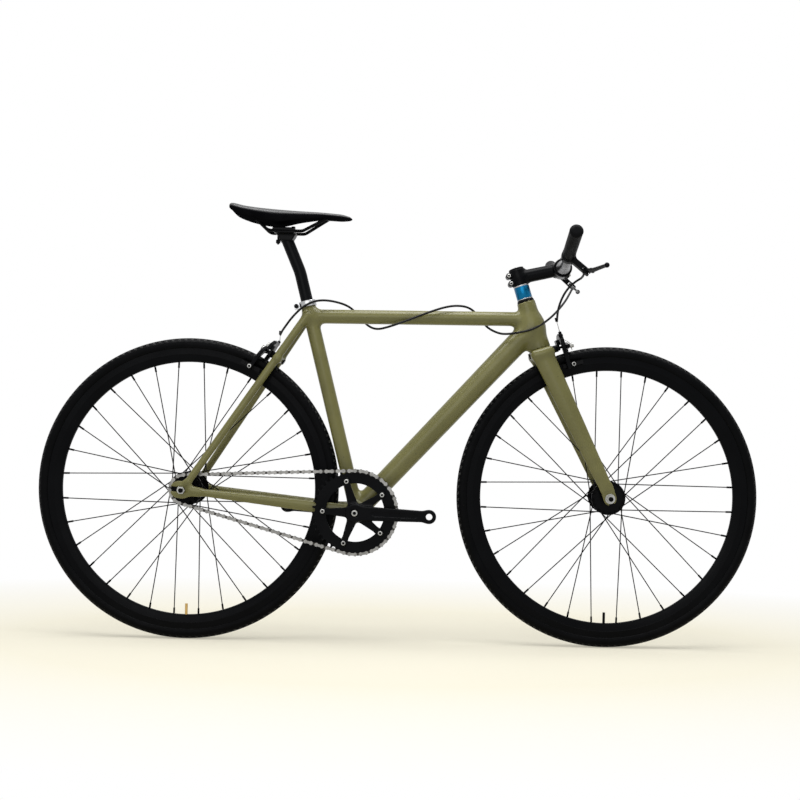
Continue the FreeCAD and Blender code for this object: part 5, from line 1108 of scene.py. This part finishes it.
# Where the bare wire passes below its barrel: how far up and how far out.
WIRE_PLACES = ((BARREL_FOOT, CURVED_LEVEL), (4.0, ANCHOR_LEVEL), (-14.0, STRAIGHT_LEVEL + 6.0))
ARMS = (("curved", CURVED_ARM_SHARES, CURVED_LEVEL, -1),
        ("straight", STRAIGHT_ARM_SHARES, STRAIGHT_LEVEL, 1))
PAD_PLACE = 35.0
PAD_OUTER = 21.2
STUD_LENGTH = 12.0
STUD_RADIUS = 3.1
STUD_START = 14.0
FOOT_HALF = 5.0
TOWER_RISE = 6.0
TOWER_HALF = 8.0
KNURL_RADIUS = 5.0
KNURL_RISE = 5.0
KNURL_HALF = 2.6
TRACK_RADIUS = 309.5
CAP_RADIUS = 6.2
CAP_HEIGHT = 4.6
SIDE_PIN_LIFT = 0.4


def pad_drop(prefix, axle):
    mount, _, up_way, out_way = caliper_frame(prefix)
    up, out = along_axes(axle, mount, up_way, out_way)
    return math.sqrt(TRACK_RADIUS ** 2 - (PAD_PLACE - out) ** 2) + up


def arm_field(prefix, shares, level, sign, drop):
    """An arm's plate with rounded edges, and the foot that carries its pad."""
    corners = [(across * CALIPER_REACH, up * CALIPER_REACH) for across, up in shares]
    start = level - ARM_HALF
    end = PAD_PLACE + FOOT_HALF
    foot_centre = np.array([sign * (PAD_OUTER + STUD_LENGTH / 2), drop, (start + end) / 2])
    foot_halves = (STUD_LENGTH / 2 - 0.1, FOOT_HALF, (end - start) / 2)

    def field(points):
        across, up, out = along_axes(points, *caliper_frame(prefix))
        plate = corner(outline_distance(across, up, corners), abs(out - level) - ARM_HALF, 2.2)
        foot = block(np.column_stack([across, up, out]), foot_centre, np.eye(3), foot_halves, 1.6)
        whole = joined(plate, foot, 3.0)
        if sign < 0:
            barrel = np.hypot(across - CABLE_SIDE, out - level)
            tower = corner(barrel - BARREL_RADIUS, abs(up - BARREL_FOOT - TOWER_RISE) - TOWER_HALF, 0.6)
            knurl = corner(barrel - KNURL_RADIUS, abs(up - BARREL_FOOT - KNURL_RISE) - KNURL_HALF, 0.6)
            whole = joined(whole, joined(tower, knurl, 0.6), 1.5)
        stud = np.maximum(np.hypot(up - drop, out - PAD_PLACE) - STUD_RADIUS, STUD_START - sign * across)
        return without(whole, stud, 0.4)
    return field


for prefix, axle, carrier in (("front", front_axle, "steering"), ("rear", rear_axle, "frame")):
    place = partial(on_caliper, prefix)
    drop = pad_drop(prefix, axle)
    _, across_way, _, out_way = caliper_frame(prefix)
    straight = prefix + "_straight_arm"
    for kind, shares, level, sign in ARMS:
        body = f"{prefix}_{kind}_arm"
        sculpted(body + "_skin", arm_field(prefix, shares, level, sign, drop),
                 box_of(place, (-52, 40), (-62, 36), (14, 44)), 1.3, body, black_alloy,
                 f"{prefix}_caliper_{kind}_arm")
        stud_end = place(sign * (PAD_OUTER + STUD_LENGTH - 0.2), drop, PAD_PLACE)
        socket_bolt(f"{prefix}_{kind}_pad_bolt", stud_end, across_way * sign, 5.2, 4.3, body, bright_steel)
    for kind, spot, radius, height, body in (
            ("caliper", (0, 0, STRAIGHT_LEVEL + ARM_HALF), CAP_RADIUS, CAP_HEIGHT, carrier),
            ("side_pin", (18, 12, CURVED_LEVEL + ARM_HALF + SIDE_PIN_LIFT), CAP_RADIUS, CAP_HEIGHT, carrier),
            ("anchor", (CABLE_SIDE, ANCHOR_SHARE * CALIPER_REACH, ANCHOR_LEVEL), 5.2, 8.0, straight)):
        socket_bolt(f"{prefix}_{kind}_bolt", place(*spot), out_way, radius, height, body, bright_steel)
    wire = [place(CABLE_SIDE, up, out) for up, out in WIRE_PLACES]
    pipe_along(prefix + "_anchored_wire", np.array(wire), WIRE_RADIUS, straight, bright_steel, WIRE_ROUND)

# Bright bolts of the crankset.
for index, turn in enumerate(SPIDER_TURNS):
    spot = bottom_bracket + (crank_ahead * math.cos(turn) + crank_up * math.sin(turn)) * BOLT_CIRCLE
    socket_bolt(f"chainring_bolt_{index}", spot - Y_AXIS * (CRANK_INNER - BOLT_SINK), -Y_AXIS, 5.0, 2.0,
                "crankset", bright_steel, [] if index else ["crankset_bolts"])
for side, sign in SIDES:
    outward = Y_AXIS * sign
    socket_bolt(f"crank_{side}_bolt", bottom_bracket + outward * (CRANK_INNER + CRANK_WIDTH - 4.4), outward,
                7.0, 4.0, "crankset", bright_steel)

# Grips: soft sleeves with a rounded end and shallow rings.
GRIP_RADIUS = 14.5
GRIP_LENGTH = 132.0
GRIP_END = 5.0
GRIP_DOME = 9.0
GRIP_DOME_START = -3.2
GRIP_DOME_STEPS = 9
GRIP_RING = 2.0
GRIP_RINGS_START = 9.0
GRIP_RINGS_END = -4.0
GRIP_GROOVE = 0.35
GRIP_RIDGE = 0.3
GRIP_COLLAR = [(0.3, -3.3), (0.3, -0.2), (1.2, 0.6), (5, 0.6), (6, -0.3)]


def grip_profile():
    profile = [(place - GRIP_LENGTH, GRIP_RADIUS + step) for place, step in GRIP_COLLAR]
    for place in np.arange(GRIP_RINGS_START - GRIP_LENGTH, GRIP_RINGS_END, GRIP_RING):
        profile.append((place, GRIP_RADIUS - GRIP_GROOVE + GRIP_RIDGE * (round(place / GRIP_RING) % 2)))
    for angle in np.linspace(0, math.pi / 2, GRIP_DOME_STEPS):
        profile.append((GRIP_DOME_START + (GRIP_END - GRIP_DOME_START) * math.sin(angle),
                        GRIP_RADIUS - GRIP_DOME + GRIP_DOME * math.cos(angle)))
    return profile + [(GRIP_END, NEAR_AXIS)]


for (side, sign), replaced in zip(SIDES, (["grips"], [])):
    bar_end = bar_centre + (0, sign * BAR_HALF, BAR_RISE)
    lathe(f"grip_{side}_sleeve", grip_profile(), bar_end, lever_frame(side)[1], "steering", grip_rubber, 48,
          60, replaced)

# The saddle: a crowned cover over a shell, with a shallow channel, turned edges and a raised tail.
SADDLE_LENGTH = 276.0
SADDLE_WIDTH = 134.0
SADDLE_HEIGHT = 46.0
SADDLE_TILT = math.radians(0.4)
SADDLE_TAIL_AHEAD = -128.0
RAIL_GAP = 14.0
# Each row: share of the length from the tail, then shares of the width, the top and the underside.
SADDLE_SHARES = [(0.0, 0.6, 0.95, 0.7), (0.05, 0.84, 0.97, 0.45), (0.14, 0.98, 0.82, 0.27),
                 (0.26, 1.0, 0.745, 0.1), (0.4, 0.86, 0.71, 0.0), (0.56, 0.52, 0.7, 0.2),
                 (0.74, 0.33, 0.69, 0.35), (0.92, 0.28, 0.62, 0.3), (1.0, 0.17, 0.48, 0.36)]
SADDLE_STATIONS = 121
SADDLE_ROUND = 96
TAIL_ROUND_SHARE = 0.035
NOSE_ROUND_SHARE = 0.03
LEAST_END_SHARE = 0.02
SADDLE_EDGE_SHARE = 0.42
CHANNEL_DEPTH = 2.6
CHANNEL_HALF = 8.0
CHANNEL_MIDDLE_SHARE = 0.45
CHANNEL_HALF_SHARE = 0.3
SHELL_HOLLOW = 5.0
# Powers that square off the cover's section, across and up, above its edge and below it.
COVER_POWERS = (0.8, 0.75)
SKIRT_POWERS = (0.55, 0.6)
SKIRT_TUCK_SHARE = 0.1
POST_STRAIGHT = 67.0
POST_UPPER = 84.0
POST_ANGLE = math.radians(75.5 - 8.7)
CLAMP_RISE = 13.0
saddle_ahead = np.array([math.cos(SADDLE_TILT), 0, -math.sin(SADDLE_TILT)])
saddle_up = np.array([math.sin(SADDLE_TILT), 0, math.cos(SADDLE_TILT)])
post_up = np.array([-math.cos(POST_ANGLE), 0, math.sin(POST_ANGLE)])
rail_middle = seat_top + seat_up * POST_STRAIGHT + post_up * POST_UPPER + saddle_up * CLAMP_RISE


def on_saddle(ahead, across, up):
    return rail_middle + saddle_ahead * ahead + Y_AXIS * across + saddle_up * up


def eased(values, rounds=14):
    """A run of numbers with its corners softened and its ends kept."""
    for _ in range(rounds):
        values[1:-1] = (values[:-2] + 2 * values[1:-1] + values[2:]) / 4
    return values


def saddle_skin():
    table = np.array(SADDLE_SHARES).T
    stations = 0.5 - 0.5 * np.cos(np.linspace(0, math.pi, SADDLE_STATIONS))
    widths, tops, lows = (eased(np.interp(stations, table[0], column)) for column in table[1:])
    ends = np.clip(np.minimum(stations / TAIL_ROUND_SHARE, (1 - stations) / NOSE_ROUND_SHARE), 0, 1)
    ends = np.sqrt(1 - (1 - ends) ** 2)
    points = []
    for share, width, top, low, end in zip(stations, widths, tops, lows, ends):
        closing = max(end, LEAST_END_SHARE)
        half = width * SADDLE_WIDTH / 2 * closing
        foot = RAIL_GAP + SADDLE_HEIGHT * low
        height = SADDLE_HEIGHT * (top - low)
        middle = foot + SADDLE_EDGE_SHARE * height
        above = (1 - SADDLE_EDGE_SHARE) * height * closing
        below = SADDLE_EDGE_SHARE * height * closing
        channel = CHANNEL_DEPTH * math.exp(-((share - CHANNEL_MIDDLE_SHARE) / CHANNEL_HALF_SHARE) ** 4)
        for turn in turns_of(SADDLE_ROUND):
            lean, rise = math.sin(turn), math.cos(turn)
            if rise >= 0:
                across = half * math.copysign(abs(lean) ** COVER_POWERS[0], lean)
                dip = channel * math.exp(-(across / CHANNEL_HALF) ** 2)
                up = middle + above * rise ** COVER_POWERS[1] - dip
            else:
                across = half * math.copysign(abs(lean) ** SKIRT_POWERS[0], lean)
                across *= 1 - SKIRT_TUCK_SHARE * abs(rise)
                up = middle - below * abs(rise) ** SKIRT_POWERS[1] + SHELL_HOLLOW * abs(rise) ** 6 * end
            points.append(on_saddle(SADDLE_TAIL_AHEAD + share * SADDLE_LENGTH, across, up))
    faces = [(face[0], *face[:0:-1]) for face in ring_faces(SADDLE_STATIONS - 1, SADDLE_ROUND)]
    faces += [list(range(SADDLE_ROUND)), [len(points) - 1 - i for i in range(SADDLE_ROUND)]]
    return new_piece("saddle_cover", points, faces, "seat", saddle_cover, ["saddle"])


saddle = saddle_skin()

# The saddle's clamp: two jaws round the rails, on a head that narrows to the post, with a bolt at each end.
JAW_OUTLINE = [(-29, 5.5), (-26, 7.6), (12, 7.6), (20, 5.5), (22.5, -3), (19, -5.5), (-22, -5.5), (-28, -1)]
HEAD_OUTLINE = [(-24, -2), (19.5, -2), (21.5, -8), (13.5, -22), (-13.5, -22), (-15.5, -13)]
JAW_HALF = 27.0
HEAD_HALF = 16.0
JAW_GAP_HALF = 0.6
JAW_GAP_DEPTH = 2.5
CLAMP_KNOB = [(-16, 2.2), (0, 2.2), (0.4, 4.6), (1.2, 5.0), (7.2, 5.0), (8.2, 4.4), (8.4, 2.4), (10.6, 2.4),
              (11, NEAR_AXIS)]


def clamp_field(points):
    ahead, up = along_axes(points, rail_middle, saddle_ahead, saddle_up)
    side = abs(points[:, 1])
    jaws = corner(outline_distance(ahead, up, JAW_OUTLINE), side - JAW_HALF, 2.4)
    head = corner(outline_distance(ahead, up, HEAD_OUTLINE), side - HEAD_HALF, 3.0)
    gap = np.maximum(abs(up) - JAW_GAP_HALF, JAW_HALF - JAW_GAP_DEPTH - side)
    return without(joined(jaws, head, 5.0), gap, 0.4)


sculpted("seatpost_clamp_skin", clamp_field, box_of(on_saddle, (-33, 27), (-31, 31), (-26, 12)), 1.2, "seat",
         black_alloy, "seatpost_clamp")
socket_bolt("seatpost_clamp_front_bolt", on_saddle(15, 0, 7.0), saddle_up, 4.8, 6.0, "seat", black_alloy)
lathe("seatpost_clamp_rear_knob", CLAMP_KNOB, on_saddle(-18.5, 0, -17.5), -saddle_up, "seat", black_alloy,
      36)

# Edges of the remaining solids catch a little light: each bevel's width, and the nodes that have it.
BEVELLED = {0.0003: ("rear_cog", "silver_spacers", "blue_spacer"), 0.0004: ("chainring",),
            0.0005: ("headset", "rear_lockring", "bottom_bracket_cups"),
            0.0006: ("seat_collar", "front_hub", "rear_hub"), 0.0007: ("front_axle", "rear_axle"),
            0.0008: ("front_brake_base", "rear_brake_base", *PAD_NODES)}
BEVEL_ANGLE = math.radians(38)
WELD_REACH = 0.00001
SPOKE_COAT = 0.0002


def modified(name, kind, **settings):
    """Add a modifier to a node of the part."""
    modifier = nodes[name].modifiers.new(kind.lower(), kind)
    for setting, value in settings.items():
        setattr(modifier, setting, value)


for name in ("front_spokes", "rear_spokes"):
    modified(name, "WELD", merge_threshold=WELD_REACH)
    modified(name, "DISPLACE", strength=SPOKE_COAT, mid_level=0.0)
for width, names in BEVELLED.items():
    for name in names:
        modified(name, "WELD", merge_threshold=WELD_REACH)
        modified(name, "BEVEL", width=width, segments=2, limit_method="ANGLE", angle_limit=BEVEL_ANGLE,
                 harden_normals=True)


# The stage: a cream floor that fades to white round the object, as the world behind it is.
FLOOR_HALF = 9000.0
CREAM = (0.77, 0.735, 0.61, 1)
WHITE = (1, 1, 1, 1)
SOFT_WHITE = (0.97, 0.985, 1.0, 1)
SOFT_STRENGTH = 0.4
FLOOR_GLOW_SHARE = 0.5
FADE_NARROWING = (0.45, 1, 0)
FADE_START = 0.4
FADE_END = 0.95


def seen_rays(tree):
    """One for the rays that show the background: those of the camera, of reflections and through glass."""
    path = added(tree, "LightPath").outputs
    seen = worked_out(tree, "MAXIMUM", path["Is Camera Ray"], path["Is Glossy Ray"])
    return worked_out(tree, "MAXIMUM", seen, path["Is Transmission Ray"])


def stage_material():
    """Near the object the camera sees half of the floor as plain colour, and farther off all of it."""
    material = new_material("pale_floor")
    tree, shader = nodes_of(material)
    narrowed = added(tree, "VectorMath", {0: place_on(tree), 1: FADE_NARROWING}, operation="MULTIPLY")
    length = added(tree, "VectorMath", {0: narrowed.outputs["Vector"]}, operation="LENGTH")
    fade = spread(tree, length.outputs["Value"], 0, 1, FADE_START, FADE_END)
    colour = mixed(tree, fade, CREAM, WHITE)
    tree.links.new(colour, shader.inputs["Base Color"])
    tree.links.new(spread(tree, noise(tree, 60.0, 6.0), 0.6, 0.75), shader.inputs["Roughness"])
    glow = added(tree, "Emission", {"Color": colour})
    share = worked_out(tree, "MULTIPLY", spread(tree, fade, FLOOR_GLOW_SHARE, 1, 0, 1), seen_rays(tree))
    mix = added(tree, "MixShader", {"Fac": share, 1: shader.outputs["BSDF"], 2: glow.outputs["Emission"]})
    tree.links.new(mix.outputs["Shader"], tree.nodes["Material Output"].inputs["Surface"])
    return material


floor_corners = [(x * FLOOR_HALF, y * FLOOR_HALF, 0) for x, y in ((-1, -1), (1, -1), (1, 1), (-1, 1))]
new_piece("floor", floor_corners, [(0, 1, 2, 3)], None, stage_material())


def light_world():
    """White where the camera and reflections see it, and a soft even light elsewhere."""
    world = bpy.data.worlds.new("studio")
    bpy.context.scene.world = world
    world.use_nodes = True
    tree = world.node_tree
    tree.nodes.clear()
    soft = added(tree, "Background", {"Color": SOFT_WHITE, "Strength": SOFT_STRENGTH}).outputs["Background"]
    white = added(tree, "Background", {"Color": WHITE, "Strength": 1.0}).outputs["Background"]
    mix = added(tree, "MixShader", {"Fac": seen_rays(tree), 1: soft, 2: white})
    added(tree, "OutputWorld", {"Surface": mix.outputs["Shader"]})


LIT_MIDDLE = (0, 0, 0.5)


def area_light(name, place, size, power):
    """A rectangular lamp that points at the middle of the bicycle."""
    lamp = bpy.data.lights.new(name, "AREA")
    lamp.shape = "RECTANGLE"
    lamp.size, lamp.size_y = size
    lamp.energy = power
    holder = bpy.data.objects.new(name, lamp)
    holder.location = place
    holder.rotation_euler = (Vector(LIT_MIDDLE) - Vector(place)).to_track_quat("-Z", "Y").to_euler()
    bpy.context.scene.collection.objects.link(holder)


light_world()
area_light("overhead", (0.0, -0.25, 2.5), (3.0, 1.3), 95)
area_light("fill", (-0.6, -3.2, 1.6), (2.4, 1.8), 25)

# The camera stands square to the drive side, level with the frame, with a slight roll.
CAMERA_PLACE = (0.0944, -2.45, 0.512)
CAMERA_ROLL = math.radians(1.24)
camera_data = bpy.data.cameras.new("camera")
camera_data.sensor_width = 36.0
camera_data.lens = 48.75
camera_data.shift_x = -0.05125
camera_data.shift_y = 0.02125
camera = bpy.data.objects.new("camera", camera_data)
camera.matrix_world = (Matrix.Translation(CAMERA_PLACE) @ Matrix.Rotation(math.radians(90), 4, "X")
                       @ Matrix.Rotation(CAMERA_ROLL, 4, "Z"))
bpy.context.scene.collection.objects.link(camera)
bpy.context.scene.camera = camera
bpy.context.scene.view_settings.view_transform = "Standard"
